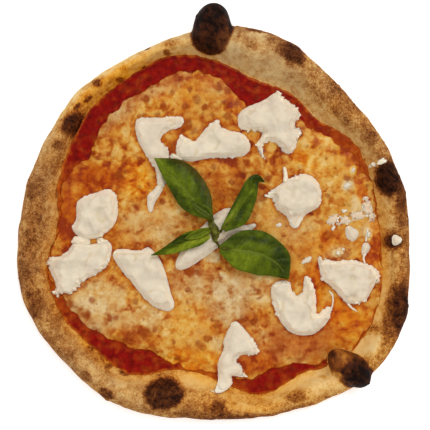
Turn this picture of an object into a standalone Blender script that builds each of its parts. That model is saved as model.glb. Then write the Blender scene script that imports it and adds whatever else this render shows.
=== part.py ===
"""Stracchino pizza: a baked round pizza with tomato sauce, melted cheese, torn pieces of soft
stracchino and a sprig of basil. One solid for each piece, laid on each other from the base up.

Sizes are in millimetres and scaled to metres when a mesh is made. +Z is up, the underside is at
z = 0 and the origin is in the middle of the underside.
"""
import math

import bpy
import numpy as np
from mathutils import Vector, noise
from mathutils.bvhtree import BVHTree
from mathutils.geometry import delaunay_2d_cdt

MM = 0.001
GAP = 0.45                      # air left between two pieces that lie on each other

# Dough: radii are measured from RIM_CENTRE, one every 15 degrees, counter-clockwise from +X
RIM_CENTRE = (-0.4, -11.3)
OUTER_RADII = (158, 156, 153.5, 151, 156.5, 162, 161, 155, 152.5, 155, 152.5, 154.5,
               157.5, 164, 165.5, 163.5, 164.5, 159.5, 156, 159.5, 166, 174.5, 173.5, 163.5)
RIM_WIDTHS = (26, 25, 22.5, 31.5, 34, 39.5, 28, 14, 15.5, 19.5, 21.5, 25.5,
              32, 25.5, 24, 26.5, 28, 40.5, 34, 18.5, 27.5, 25.5, 25.5, 24.5)
RIM_HEIGHT = 12.5               # height of a rim with no width; a wide rim has puffed up more
RIM_HEIGHT_PER_WIDTH = 0.24
RIM_LUMPS = 1.1                 # how far the rim's soft lumps stand out
RIM_LUMP_SIZE = 17.0
BASE_TOP = 4.0                  # thickness of the flat dough under the sauce
EDGE_ROUNDING = 10.0            # how far in from the edge the dough leaves the ground
WIDEST_AT = 0.42                # share of the rim's height at which it is widest
CREST_AT = 0.43                 # share of the rim's width, from outside, at which it is highest
RIM_STEPS = 150

# Low blisters and one crater on the rim: x, y, half length, half width, turn in degrees, lift
BLISTERS = (
    (62, 127, 13, 10, -30, 2.6),
    (139, 27, 14, 10, 95, 3.0),
    (149, -78, 21, 9, 88, 2.2),
    (-40.5, -146, 16, 12, 5, 3.4),
    (-113, 71, 11, 8, 50, 2.4),
    (100, 90, 13, 7, -45, 1.4),
    (126, 60, 9, 6, -60, 1.2),
    (-142, -77, 9, 6, 70, 1.5),
    (-86, -146, 8, 6, 30, 1.5),
    (66, -148, 13, 8, 10, 1.6),
    (146, -23, 8, 7, 0, -2.2),
)
# Large burst bubbles: centre, half sizes along the bubble, across it and up, turn, lean
BUBBLES = (
    (Vector((-2.0, 147.5, 15.5)), (20.5, 15.5, 14.0), 82, 6),
    (Vector((108.6, -125.6, 15.0)), (20.5, 11.8, 11.5), -38, -4),
)
BUBBLE_SEGMENTS = 18
BUBBLE_RINGS = 11

# Sauce and melted cheese
SAUCE_FLOOR = BASE_TOP + 0.35
SAUCE_TOP = 5.35
SAUCE_STEPS = 120
CHEESE_FLOOR = SAUCE_TOP + 0.35
CHEESE_TOP = 8.0
CHEESE_RELIEF = 0.7
CHEESE_RELIEF_SIZE = 34.0
CHEESE_EDGE = 7.0               # width over which the cheese thins towards its edge
CHEESE_RADII = (129.5, 128, 120, 111, 108.5, 101, 120.5, 127, 123, 121, 121.5, 124.5,
                123, 136, 133, 127, 119, 114.5, 119, 130, 130, 144, 144, 136)
CHEESE_STEPS = 120
CHEESE_SPACING = 8.0
# Bits of stracchino that melted into the cheese: x, y, half length, half width, turn, lift
MELTED_BITS = (
    (106.5, 20, 6, 4, 40, 0.9),
    (112, 33.5, 4, 3, 60, 0.8),
    (99.5, -33, 4, 3, 30, 0.8),
    (124, -17.5, 5, 2.5, 95, 0.8),
)
BIT_SIDES = 7

# Stracchino: name, height, and the outline, counter-clockwise or clockwise from any point
STRACCHINO = (
    ("upper_left_streak", 6.5, ((-63, 75), (-44, 76.5), (-25, 76.5), (-26, 69.5), (-39, 64.5),
     (-43.5, 58), (-37, 50), (-37, 38), (-40, 20), (-47, 9), (-51.5, -1.5), (-55, 11), (-47, 23.5),
     (-48, 34), (-58, 49.5), (-63.5, 62.5))),
    ("upper_bar", 8.5, ((-27, 62.5), (-16.5, 57.5), (-10.5, 64), (2, 75), (6, 68.5), (24.5, 62.5),
     (29.5, 52.5), (25.5, 46), (-7, 43), (-20, 40.5), (-31, 45.5))),
    ("upper_right_dollop", 10, ((18, 77.5), (26, 85), (38.5, 90), (53.5, 98.5), (55.5, 92), (63, 88),
     (70, 79), (64.5, 70), (69.5, 66), (66.5, 55), (63, 47), (57, 47), (52.5, 52), (43.5, 57.5),
     (39.5, 53.5), (41.5, 42), (35.5, 47.5), (34.5, 56.5), (38, 64), (20, 67))),
    ("right_dollop", 11.5, ((42, 13.5), (52.5, 22), (60.5, 27.5), (74, 31), (84, 24), (86.5, 15.5),
     (84, 4), (73.5, -2.5), (70, -10.5), (65, -14), (60.5, -10), (58, -3.5), (50, 2.5), (47, 10.5))),
    ("right_smear", 2.6, ((89.5, -8), (91, -4.5), (98.5, 0), (104, -3.5), (111.5, 1.5), (118.5, 0.5),
     (118, 7), (120.5, 13), (125, 9.5), (130, -1.5), (129, -7.5), (118.5, -6.5), (110.5, -9),
     (93, -11.5))),
    ("lower_right_dollop", 11, ((84.5, -37.5), (91, -38.5), (99.5, -39.5), (112.5, -39), (131, -46),
     (134, -53.5), (130, -58.5), (122, -71.5), (112.5, -75), (106.5, -74), (94.5, -61), (86.5, -54.5))),
    ("claw_dollop", 10.5, ((46.5, -59), (53, -55.5), (61.5, -56), (63, -63.5), (66.5, -67),
     (71, -63.5), (72, -55), (74, -50.5), (79, -56), (82, -65), (83, -83), (87.5, -79), (94, -76),
     (93, -86), (81.5, -98), (73, -100), (60.5, -96.5), (48, -78.5))),
    ("bottom_shred", 8, ((15, -87), (28, -98.5), (37, -114.5), (22.5, -116.5), (17.5, -120),
     (21.5, -124), (25, -133.5), (13.5, -133), (15, -139), (5, -145), (-0.5, -144), (2.5, -137),
     (2.5, -121.5), (7, -111), (7, -104.5), (11, -94))),
    ("left_dollop", 11.5, ((-110.5, 9), (-94.5, 16), (-87, 18.5), (-80.5, 15.5), (-78.5, 9),
     (-79.5, -7.5), (-92, -20), (-100.5, -22), (-107, -21.5), (-115.5, -13), (-112, -7))),
    ("left_torn_piece", 9, ((-113, -24), (-99, -25.5), (-88, -22.5), (-83, -27), (-87, -44),
     (-105.5, -56), (-117, -67), (-122, -65), (-130.5, -67.5), (-128.5, -58.5), (-134, -46),
     (-134, -36.5), (-126, -36), (-119, -31.5))),
    ("left_long_piece", 8.5, ((-82.5, -34), (-78, -30), (-59.5, -31), (-54, -28), (-47.5, -33.5),
     (-41.5, -43), (-35, -66), (-32, -76), (-35, -80), (-43, -79), (-51, -75), (-68.5, -56))),
    ("centre_piece", 9, ((-32, -41.5), (-19.5, -21), (3.5, 0.5), (12, 3.5), (19, -1), (23, -10),
     (35, -9), (31.5, -14.5), (10, -23.5), (-7.5, -36.5), (-25.5, -47), (-30.5, -46.5))),
    ("right_square_bit", 4.5, ((106.5, -11.5), (111, -11.5), (117.5, -17), (112, -24), (106.5, -21))),
    ("right_thin_bit", 3, ((69.5, -42), (72, -37.5), (78.5, -36), (77, -40.5))),
    ("right_tailed_bit", 3, ((119.5, -25), (124.5, -24), (126.5, -28), (123.5, -34), (121, -37.5),
     (118.5, -32))),
)
RIM_CRUMB = (145.5, -22.5)
RIM_CRUMB_RADIUS = 4.2
RIM_CRUMB_HEIGHT = 5.0
RIM_CRUMB_SIDES = 12
OUTLINE_STEP = 3.2              # length of the edges round a piece of stracchino
FEWEST_EDGES = 14
CURVE_STEPS = 24
TOP_SPACING = 4.2
TOP_MARGIN = 1.3
UNDER_SPACING = 6.5
UNDER_MARGIN = 2.5
UNDER_REACH = 2.5               # the underside clears all that lies this near it
SHOULDER = 6.0                  # distance from its edge at which a piece reaches full height
FOLD_SIZE = 10.0
FOLD_DEPTH = 0.32               # share of a piece's height that its folds and dents take

# Basil: name, points along the midrib from base to tip, greatest half widths left and right of it,
# share of the length at which it is widest, and how far the edges lift (+) or droop (-)
LEAVES = (
    ("lower_left", ((-4, -18), (-19, -22.5), (-36, -29), (-50.5, -34.5)), 7.5, 6.5, 0.42, 3.0),
    ("lower_right", ((4, -29.5), (21, -30.5), (38, -34), (51, -42), (59.5, -54)), 15, 16, 0.5, -2.0),
    ("upper_left", ((-3, -4), (-16, 9.5), (-31.5, 26), (-48, 43)), 13, 15.5, 0.45, -2.5),
    ("upper_right", ((6.5, -14), (16.5, -3), (25.5, 12), (31, 22), (38.5, 27.5)), 7, 9, 0.45, 3.5),
)
LEAF_THICKNESS = 0.7
LEAF_BASE_HEIGHT = 19.0
LEAF_TIP_HEIGHT = 10.5
LEAF_ROWS = 15
LEAF_HALF_COLUMNS = 3
LEAF_RIPPLE = 0.7
LEAF_RIPPLE_SIZE = 9.0
LEAF_REACH = 4.0                # a leaf clears all that lies this near under it
STEM_POINTS = ((-1.5, -7), (0.5, -14), (1.5, -20), (0, -25.5))
STEM_RADIUS = 1.2
STEM_SIDES = 8


def finish(name, colour, roughness):
    """A plain material for one kind of piece."""
    material = bpy.data.materials.new(name)
    material.use_nodes = True
    shader = material.node_tree.nodes["Principled BSDF"]
    shader.inputs["Base Color"].default_value = (*colour, 1.0)
    shader.inputs["Roughness"].default_value = roughness
    shader.inputs["Metallic"].default_value = 0.0
    return material


def add_solid(name, points, faces, material):
    """One named object from points in millimetres and faces that look outwards."""
    mesh = bpy.data.meshes.new(name)
    mesh.from_pydata([tuple(MM * float(value) for value in point) for point in points], [], faces)
    mesh.materials.append(material)
    mesh.update()
    mesh.shade_smooth()
    solid = bpy.data.objects.new(name, mesh)
    bpy.context.scene.collection.objects.link(solid)
    return solid


def eased(start, end, slope_in, slope_out, share):
    """A point part of the way along a smooth span with the given slopes at its ends."""
    return (start * (1 + 2 * share) * (1 - share) ** 2 + slope_in * share * (1 - share) ** 2
            + end * share ** 2 * (3 - 2 * share) + slope_out * share ** 2 * (share - 1))


def around(values, angle):
    """Smooth closed curve through values that stand at even angles."""
    position = (angle / math.tau) % 1.0 * len(values)
    index = int(position)
    before, start, end, after = (values[(index + step) % len(values)] for step in (-1, 0, 1, 2))
    return eased(start, end, (end - before) / 2, (after - start) / 2, position - index)


def lumps(x, y, size, seed):
    """Soft unevenness between about -1 and 1."""
    return 1.6 * noise.noise(Vector((x / size, y / size, 3.7 * seed)))


def dome(x, y, spot):
    """Height at a point of a low round blister or dent."""
    centre_x, centre_y, half_length, half_width, turn, lift = spot
    cosine = math.cos(math.radians(turn))
    sine = math.sin(math.radians(turn))
    along = ((x - centre_x) * cosine + (y - centre_y) * sine) / half_length
    across = ((y - centre_y) * cosine - (x - centre_x) * sine) / half_width
    distance = min(1.0, math.hypot(along, across))
    return lift * (0.5 + 0.5 * math.cos(math.pi * distance)) ** 0.7


def rim_section(angle):
    """Radius and height of the points over the rim, from the ground outside to the sauce inside."""
    outer = around(OUTER_RADII, angle)
    width = around(RIM_WIDTHS, angle)
    height = RIM_HEIGHT + RIM_HEIGHT_PER_WIDTH * width
    crest = outer - CREST_AT * width
    foot = outer - width
    widest = WIDEST_AT * height
    section = []
    for turn in (0, 26, 50, 72, 90):
        turn = math.radians(turn)
        section.append((outer - EDGE_ROUNDING * (1 - math.sin(turn)), widest * (1 - math.cos(turn))))
    for turn in (22, 45, 68, 90):
        turn = math.radians(turn)
        section.append((crest + (outer - crest) * math.cos(turn),
                        widest + (height - widest) * math.sin(turn)))
    for share in (0.17, 0.33, 0.5, 0.67, 0.84, 1.0):
        fall = (0.5 + 0.5 * math.cos(math.pi * share)) ** 0.85
        section.append((crest + (foot - crest) * share, BASE_TOP + (height - BASE_TOP) * fall))
    return section


def rim_point(angle, section, index):
    """A point of the rim with its lumps and blisters, pushed out along the section's own slope."""
    radius, height = section[index]
    x = RIM_CENTRE[0] + radius * math.cos(angle)
    y = RIM_CENTRE[1] + radius * math.sin(angle)
    if index in (0, len(section) - 1):
        return Vector((x, y, height))
    step_out = section[index + 1][0] - section[index - 1][0]
    step_up = section[index + 1][1] - section[index - 1][1]
    length = math.hypot(step_out, step_up)
    out, up = step_up / length, -step_out / length
    fade = min(1.0, index / 3, (len(section) - 1 - index) / 3)
    push = RIM_LUMPS * lumps(x + height, y - height, RIM_LUMP_SIZE, 1)
    push += sum(dome(x, y, blister) for blister in BLISTERS)
    push *= fade
    return Vector((x + push * out * math.cos(angle), y + push * out * math.sin(angle),
                   max(0.0, height + push * up)))


def bubble_solid(centre, half_sizes, turn, lean):
    """A large bubble of dough, as a closed ball stretched, leant and turned into place."""
    turn = math.radians(turn)
    lean = math.radians(lean)
    points = [Vector((0, 0, -1))]
    for ring in range(1, BUBBLE_RINGS):
        fall = math.pi * ring / BUBBLE_RINGS
        for segment in range(BUBBLE_SEGMENTS):
            swing = math.tau * segment / BUBBLE_SEGMENTS
            points.append(Vector((math.sin(fall) * math.cos(swing), math.sin(fall) * math.sin(swing),
                                  -math.cos(fall))))
    points.append(Vector((0, 0, 1)))
    placed = []
    for point in points:
        swell = 1 + 0.06 * noise.noise(point * 1.7 + centre / 40)
        x, y, z = (swell * value * half for value, half in zip(point, half_sizes))
        x, z = x * math.cos(lean) - z * math.sin(lean), x * math.sin(lean) + z * math.cos(lean)
        placed.append(centre + Vector((x * math.cos(turn) - y * math.sin(turn),
                                       x * math.sin(turn) + y * math.cos(turn), z)))
    faces = []
    top = len(points) - 1
    for segment in range(BUBBLE_SEGMENTS):
        following = (segment + 1) % BUBBLE_SEGMENTS
        faces.append((0, 1 + following, 1 + segment))
        last_ring = 1 + (BUBBLE_RINGS - 2) * BUBBLE_SEGMENTS
        faces.append((last_ring + segment, last_ring + following, top))
        for ring in range(BUBBLE_RINGS - 2):
            low = 1 + ring * BUBBLE_SEGMENTS
            high = low + BUBBLE_SEGMENTS
            faces.append((low + segment, low + following, high + following))
            faces.append((low + segment, high + following, high + segment))
    return placed, faces


def make_crust(material):
    """Base and rim in one solid, with the large bubbles joined on."""
    angles = [math.tau * step / RIM_STEPS for step in range(RIM_STEPS)]
    sections = [rim_section(angle) for angle in angles]
    rows = len(sections[0])
    points = [rim_point(angle, section, index)
              for angle, section in zip(angles, sections) for index in range(rows)]
    under_middle = len(points)
    points.append(Vector((*RIM_CENTRE, 0)))
    top_middle = len(points)
    points.append(Vector((*RIM_CENTRE, BASE_TOP)))
    faces = []
    for step in range(RIM_STEPS):
        here = step * rows
        beside = (step + 1) % RIM_STEPS * rows
        faces.append((under_middle, beside, here))
        faces.append((top_middle, here + rows - 1, beside + rows - 1))
        for index in range(rows - 1):
            faces.append((here + index, beside + index, beside + index + 1))
            faces.append((here + index, beside + index + 1, here + index + 1))
    crust = add_solid("crust", points, faces, material)

    bubbles = bpy.data.collections.new("bubbles")
    bpy.context.scene.collection.children.link(bubbles)
    for bubble in BUBBLES:
        ball = add_solid("bubble", *bubble_solid(*bubble), material)
        bpy.context.scene.collection.objects.unlink(ball)
        bubbles.objects.link(ball)
    union = crust.modifiers.new("join bubbles", "BOOLEAN")
    union.operation = "UNION"
    union.solver = "EXACT"
    union.operand_type = "COLLECTION"
    union.collection = bubbles
    bpy.context.view_layer.update()
    joined = bpy.data.meshes.new_from_object(crust.evaluated_get(bpy.context.evaluated_depsgraph_get()))
    crust.modifiers.remove(union)
    crust.data = joined
    for ball in list(bubbles.objects):
        bpy.data.objects.remove(ball)
    bpy.data.collections.remove(bubbles)
    return crust


def sampled_outline(corners, step):
    """Even points along a smooth closed curve through the corners, counter-clockwise."""
    corners = [Vector(corner) for corner in corners]
    area = sum(here.x * there.y - here.y * there.x
               for here, there in zip(corners, corners[1:] + corners[:1]))
    if area < 0:
        corners.reverse()
    curve = []
    count = len(corners)
    for index in range(count):
        before, start, end, after = (corners[(index + shift) % count] for shift in (-1, 0, 1, 2))
        knot_a = (start - before).length ** 0.5
        knot_b = (end - start).length ** 0.5
        knot_c = (after - end).length ** 0.5
        slope_in = knot_b * ((start - before) / knot_a - (end - before) / (knot_a + knot_b)) \
            + (end - start)
        slope_out = knot_b * ((after - end) / knot_c - (after - start) / (knot_b + knot_c)) \
            + (end - start)
        for share in np.linspace(0, 1, CURVE_STEPS, endpoint=False):
            curve.append(eased(start, end, slope_in, slope_out, float(share)))
    lengths = [0.0]
    for here, there in zip(curve, curve[1:] + curve[:1]):
        lengths.append(lengths[-1] + (there - here).length)
    curve.append(curve[0])
    number = max(FEWEST_EDGES, round(lengths[-1] / step))
    marks = np.linspace(0, lengths[-1], number, endpoint=False)
    xs = np.interp(marks, lengths, [point.x for point in curve])
    ys = np.interp(marks, lengths, [point.y for point in curve])
    return [(float(x), float(y)) for x, y in zip(xs, ys)]


def depth_inside(outline, x, y):
    """Distance from a point to the outline, positive inside."""
    inside = False
    nearest = math.inf
    for (ax, ay), (bx, by) in zip(outline, outline[1:] + outline[:1]):
        if (ay > y) != (by > y) and x < ax + (y - ay) / (by - ay) * (bx - ax):
            inside = not inside
        along = ((x - ax) * (bx - ax) + (y - ay) * (by - ay)) / ((bx - ax) ** 2 + (by - ay) ** 2)
        along = min(1.0, max(0.0, along))
        nearest = min(nearest, math.hypot(x - ax - along * (bx - ax), y - ay - along * (by - ay)))
    return nearest if inside else -nearest


def inner_points(outline, spacing, margin):
    """A triangular grid of points inside an outline, at least margin from it."""
    xs = [x for x, y in outline]
    ys = [y for x, y in outline]
    row_height = spacing * math.sqrt(3) / 2
    points = []
    for row in range(int((max(ys) - min(ys)) / row_height) + 2):
        y = min(ys) + row * row_height
        for column in range(int((max(xs) - min(xs)) / spacing) + 2):
            x = min(xs) + (column + 0.5 * (row % 2)) * spacing
            if depth_inside(outline, x, y) > margin:
                points.append((x, y))
    return points


def triangles(outline, inner):
    """Triangles that fill an outline through the given inner points, counter-clockwise."""
    flat = [Vector(point) for point in outline + inner]
    result = delaunay_2d_cdt(flat, [], [list(range(len(outline)))], 1, 1e-5)
    source = [origins[0] for origins in result[3]]
    faces = []
    for face in result[2]:
        a, b, c = (source[corner] for corner in face)
        turn = (flat[b] - flat[a]).cross(flat[c] - flat[a])
        faces.append((a, b, c) if turn > 0 else (a, c, b))
    return faces


def spans(outline, faces):
    """Middles of the edges that cross from one place of an outline to another."""
    count = len(outline)
    middles = set()
    for face in faces:
        for here, there in zip(face, face[1:] + face[:1]):
            if max(here, there) < count and (there - here) % count not in (1, count - 1):
                middles.add(((outline[here][0] + outline[there][0]) / 2,
                             (outline[here][1] + outline[there][1]) / 2))
    return sorted(middles)


def slab(outline, upper, upper_height, lower, lower_height):
    """A solid whose upper and lower sheets share one edge, at the lower sheet's height."""
    count = len(outline)
    upper = upper + spans(outline, triangles(outline, upper))
    points = [(x, y, lower_height(x, y)) for x, y in outline]
    points += [(x, y, upper_height(x, y)) for x, y in upper]
    points += [(x, y, lower_height(x, y)) for x, y in lower]
    faces = triangles(outline, upper)
    for a, b, c in triangles(outline, lower):
        a, b, c = (corner if corner < count else corner + len(upper) for corner in (a, b, c))
        faces.append((a, c, b))
    return points, faces


def polar_outline(radii, steps):
    """Points round the pizza at the given radii."""
    outline = []
    for step in range(steps):
        angle = math.tau * step / steps
        radius = around(radii, angle)
        outline.append((RIM_CENTRE[0] + radius * math.cos(angle),
                        RIM_CENTRE[1] + radius * math.sin(angle)))
    return outline


def make_sauce(material):
    """A thin flat layer of sauce that fills the dish of the dough."""
    feet = [outer - width - 2 * GAP for outer, width in zip(OUTER_RADII, RIM_WIDTHS)]
    outline = polar_outline(feet, SAUCE_STEPS)
    count = len(outline)
    points = [(x, y, SAUCE_FLOOR) for x, y in outline] + [(x, y, SAUCE_TOP) for x, y in outline]
    filling = triangles(outline, [])
    faces = [(a, c, b) for a, b, c in filling]
    faces += [(a + count, b + count, c + count) for a, b, c in filling]
    for here in range(count):
        beside = (here + 1) % count
        faces.append((here, beside, beside + count))
        faces.append((here, beside + count, here + count))
    return add_solid("tomato_sauce", points, faces, material)


def cheese_height(x, y):
    """Top of the melted cheese away from its edge."""
    height = CHEESE_TOP + CHEESE_RELIEF * lumps(x, y, CHEESE_RELIEF_SIZE, 2)
    return height + sum(dome(x, y, bit) for bit in MELTED_BITS)


def make_cheese(material):
    """The melted cheese: a flat underside on the sauce and a softly uneven top."""
    outline = polar_outline(CHEESE_RADII, CHEESE_STEPS)
    upper = inner_points(outline, CHEESE_SPACING, 2.5)
    for x, y, half_length, half_width, turn, lift in MELTED_BITS:
        upper = [point for point in upper if math.hypot(point[0] - x, point[1] - y) > half_length + 1]
        cosine = math.cos(math.radians(turn))
        sine = math.sin(math.radians(turn))
        upper.append((x, y))
        for share in (0.55, 1.0):
            for step in range(BIT_SIDES):
                along = share * half_length * math.cos(math.tau * step / BIT_SIDES)
                across = share * half_width * math.sin(math.tau * step / BIT_SIDES)
                upper.append((x + along * cosine - across * sine, y + along * sine + across * cosine))

    def top(x, y):
        rise = min(1.0, depth_inside(outline, x, y) / CHEESE_EDGE)
        return CHEESE_FLOOR + (cheese_height(x, y) - CHEESE_FLOOR) * math.sin(math.pi / 2 * rise)

    points, faces = slab(outline, upper, top, [], lambda x, y: CHEESE_FLOOR)
    return add_solid("melted_cheese", points, faces, material)


def make_stracchino(name, height, corners, seed, trees, material):
    """A torn piece of soft cheese that lies on the melted cheese and swells up from its edge."""
    outline = sampled_outline(corners, OUTLINE_STEP)

    def under(x, y):
        return height_over(trees, x, y, UNDER_REACH) + GAP

    def top(x, y):
        rise = min(1.0, depth_inside(outline, x, y) / min(SHOULDER, height))
        swell = (1 - (1 - rise) ** 2.4) ** 0.6
        folds = 1 + FOLD_DEPTH * lumps(x, y, FOLD_SIZE, 5 + seed)
        return under(x, y) + height * swell * folds

    points, faces = slab(outline, inner_points(outline, TOP_SPACING, TOP_MARGIN), top,
                         inner_points(outline, UNDER_SPACING, UNDER_MARGIN), under)
    return add_solid("stracchino_" + name, points, faces, material)


def tree_of(solid):
    """Search tree of a solid, in millimetres."""
    points = [vertex.co / MM for vertex in solid.data.vertices]
    return BVHTree.FromPolygons(points, [tuple(face.vertices) for face in solid.data.polygons])


def height_over(trees, x, y, reach):
    """Highest surface under a point and within reach of it."""
    highest = -math.inf
    places = [(x, y)]
    for swing in range(8):
        angle = math.tau * swing / 8
        places.append((x + reach * math.cos(angle), y + reach * math.sin(angle)))
        places.append((x + reach / 2 * math.cos(angle), y + reach / 2 * math.sin(angle)))
    for place in places:
        for tree in trees:
            hit = tree.ray_cast(Vector((*place, 100)), Vector((0, 0, -1)))[0]
            if hit:
                highest = max(highest, hit.z)
    return highest


def make_rim_crumb(crust, material):
    """A crumb of stracchino caught in the crater on the rim."""
    outline = []
    for step in range(RIM_CRUMB_SIDES):
        angle = math.tau * step / RIM_CRUMB_SIDES
        radius = RIM_CRUMB_RADIUS * (1 + 0.15 * math.cos(3 * angle))
        outline.append((RIM_CRUMB[0] + radius * math.cos(angle), RIM_CRUMB[1] + radius * math.sin(angle)))
    floor = height_over([tree_of(crust)], *RIM_CRUMB, RIM_CRUMB_RADIUS) + GAP

    def top(x, y):
        rise = min(1.0, depth_inside(outline, x, y) / RIM_CRUMB_RADIUS)
        return floor + RIM_CRUMB_HEIGHT * math.sqrt(1 - (1 - rise) ** 2)

    points, faces = slab(outline, inner_points(outline, 1.9, 0.8), top, [], lambda x, y: floor)
    add_solid("stracchino_rim_crumb", points, faces, material)


def make_stem(trees, material):
    """The short stalk that the leaves grow from, lying on the cheese."""
    path = [Vector((*point, height_over(trees, *point, 2.0) + GAP + STEM_RADIUS))
            for point in STEM_POINTS]
    points = []
    for index, place in enumerate(path):
        ahead = path[min(index + 1, len(path) - 1)] - path[max(index - 1, 0)]
        side = ahead.cross(Vector((0, 0, 1))).normalized()
        up = side.cross(ahead).normalized()
        radius = STEM_RADIUS * (1.0 - 0.12 * index)
        for step in range(STEM_SIDES):
            angle = math.tau * step / STEM_SIDES
            points.append(place + radius * (math.cos(angle) * side + math.sin(angle) * up))
    faces = []
    for index in range(len(path) - 1):
        for step in range(STEM_SIDES):
            here = index * STEM_SIDES + step
            beside = index * STEM_SIDES + (step + 1) % STEM_SIDES
            faces.append((here, beside + STEM_SIDES, beside))
            faces.append((here, here + STEM_SIDES, beside + STEM_SIDES))
    for step in range(1, STEM_SIDES - 1):
        last = len(points) - STEM_SIDES
        faces.append((0, step, step + 1))
        faces.append((last, last + step + 1, last + step))
    return add_solid("basil_stem", points, faces, material)


def along_midrib(points, share):
    """Place and direction on a smooth open curve through the midrib's points."""
    position = min(share * (len(points) - 1), len(points) - 1 - 1e-9)
    index = int(position)
    part = position - index
    start = Vector(points[index])
    end = Vector(points[index + 1])
    before = Vector(points[index - 1]) if index else start * 2 - end
    after = Vector(points[index + 2]) if index + 2 < len(points) else end * 2 - start
    slope_in = (end - before) / 2
    slope_out = (after - start) / 2
    direction = slope_in * (1 - part) + slope_out * part
    return eased(start, end, slope_in, slope_out, part), direction.normalized()


def make_leaf(name, midrib, left_width, right_width, widest, lift, trees, material):
    """A thin wavy leaf: rows across its midrib, rested on whatever lies under it."""
    sheet = []
    for row in range(LEAF_ROWS + 1):
        share = row / LEAF_ROWS
        place, direction = along_midrib(midrib, share)
        across = Vector((-direction.y, direction.x))
        spread = math.sin(math.pi * (0.03 + 0.96 * share) ** (math.log(0.5) / math.log(widest)))
        spread = max(0.04, spread) ** 0.75
        for column in range(-LEAF_HALF_COLUMNS, LEAF_HALF_COLUMNS + 1):
            side = column / LEAF_HALF_COLUMNS
            width = left_width if side > 0 else right_width
            point = place + across * (side * width * spread)
            natural = LEAF_BASE_HEIGHT + (LEAF_TIP_HEIGHT - LEAF_BASE_HEIGHT) * share
            natural += lift * side * side * spread
            natural += LEAF_RIPPLE * lumps(point.x, point.y, LEAF_RIPPLE_SIZE, 3) * abs(side)
            rest = height_over(trees, point.x, point.y, LEAF_REACH) + GAP
            sheet.append(Vector((point.x, point.y, max(natural, rest))))
    width = 2 * LEAF_HALF_COLUMNS + 1
    count = len(sheet)
    points = [point + Vector((0, 0, LEAF_THICKNESS)) for point in sheet] + sheet
    faces = []
    for row in range(LEAF_ROWS):
        for column in range(width - 1):
            near = row * width + column
            far = near + width
            for a, b, c in ((near, near + 1, far + 1), (near, far + 1, far)):
                faces.append((a, c, b))
                faces.append((a + count, b + count, c + count))
    edge = list(range(width))
    edge += [row * width + width - 1 for row in range(1, LEAF_ROWS + 1)]
    edge += [LEAF_ROWS * width + column for column in range(width - 2, -1, -1)]
    edge += [row * width for row in range(LEAF_ROWS - 1, 0, -1)]
    for here, beside in zip(edge, edge[1:] + edge[:1]):
        faces.append((here, beside, beside + count))
        faces.append((here, beside + count, here + count))
    return add_solid("basil_leaf_" + name, points, faces, material)


def build_pizza():
    """Every piece, from the base up."""
    for leftover in list(bpy.data.objects):
        bpy.data.objects.remove(leftover)
    dough = finish("baked dough", (0.45, 0.27, 0.11), 0.8)
    tomato = finish("tomato sauce", (0.25, 0.01, 0.005), 0.35)
    melted = finish("melted cheese", (0.60, 0.28, 0.06), 0.4)
    soft_cheese = finish("stracchino", (0.73, 0.63, 0.46), 0.45)
    leaf_green = finish("basil", (0.07, 0.09, 0.004), 0.35)

    crust = make_crust(dough)
    sauce = make_sauce(tomato)
    cheese = make_cheese(melted)
    make_rim_crumb(crust, soft_cheese)
    laid = [tree_of(cheese)]
    bed = [tree_of(crust), tree_of(sauce), tree_of(cheese)]
    for seed, (name, height, corners) in enumerate(STRACCHINO):
        laid.append(tree_of(make_stracchino(name, height, corners, seed, bed, soft_cheese)))
    laid.append(tree_of(make_stem(laid, leaf_green)))
    for leaf in LEAVES:
        laid.append(tree_of(make_leaf(*leaf, laid, leaf_green)))


build_pizza()
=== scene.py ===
"""Stracchino pizza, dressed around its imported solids.

A baked disc of dough carries tomato sauce, melted cheese, torn pieces of soft stracchino and a
sprig of basil. Sizes are in millimetres in the solids' own frame, and are scaled to metres when a
mesh is made. Each section makes one piece, or one group of like pieces, from the base up.
"""
import itertools
import math

import bmesh
import bpy
import numpy as np
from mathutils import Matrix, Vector
from mathutils.bvhtree import BVHTree


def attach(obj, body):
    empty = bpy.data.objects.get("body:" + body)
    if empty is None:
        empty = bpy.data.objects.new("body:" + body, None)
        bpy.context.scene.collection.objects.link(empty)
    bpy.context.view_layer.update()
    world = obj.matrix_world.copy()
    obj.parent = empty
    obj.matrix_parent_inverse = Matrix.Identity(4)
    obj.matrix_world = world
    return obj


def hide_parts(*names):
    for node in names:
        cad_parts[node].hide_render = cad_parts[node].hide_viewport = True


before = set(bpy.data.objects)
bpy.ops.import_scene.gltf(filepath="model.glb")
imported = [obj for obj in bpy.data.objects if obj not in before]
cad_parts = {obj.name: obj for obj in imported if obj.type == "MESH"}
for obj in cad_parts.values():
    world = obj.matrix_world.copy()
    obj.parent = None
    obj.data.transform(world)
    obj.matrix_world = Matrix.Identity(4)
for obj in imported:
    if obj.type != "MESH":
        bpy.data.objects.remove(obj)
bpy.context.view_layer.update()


# ---------------------------------------------------------------------------------------- Dough
# The real piece is a disc of wheat dough, flat under the sauce, whose rim has puffed up and
# browned against the oven's flame. Its skin here is laid in sections over the crust's solid,
# roughened, and coloured as floury, golden, oily, brown or burnt wherever the real one is.
MM = 0.001
DOUGH_CENTRE = np.array((-0.4, -11.3))
DOUGH_STEPS = 960               # sections round the rim
DOUGH_ROWS = 74                 # points along each section
DOUGH_RAYS = 70                 # rays that feel each half of a section
INSIDE_FOOT = 11.0              # how far inside the rim's foot its sections end
SAUCE_CLEARANCE = 0.9           # from the sauce's solid to the foot of the rim
BASE_TOP = 4.0                  # thickness of the flat dough under the sauce
CORE_HEIGHT = 6.0               # height inside the rim from which its sections are felt
FAR_OUT = 220.0                 # radius from which the rim's outer edge is felt
ABOVE_ALL = 100.0               # height from which rays fall on the pizza
DOWN = Vector((0, 0, -1))
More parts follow.
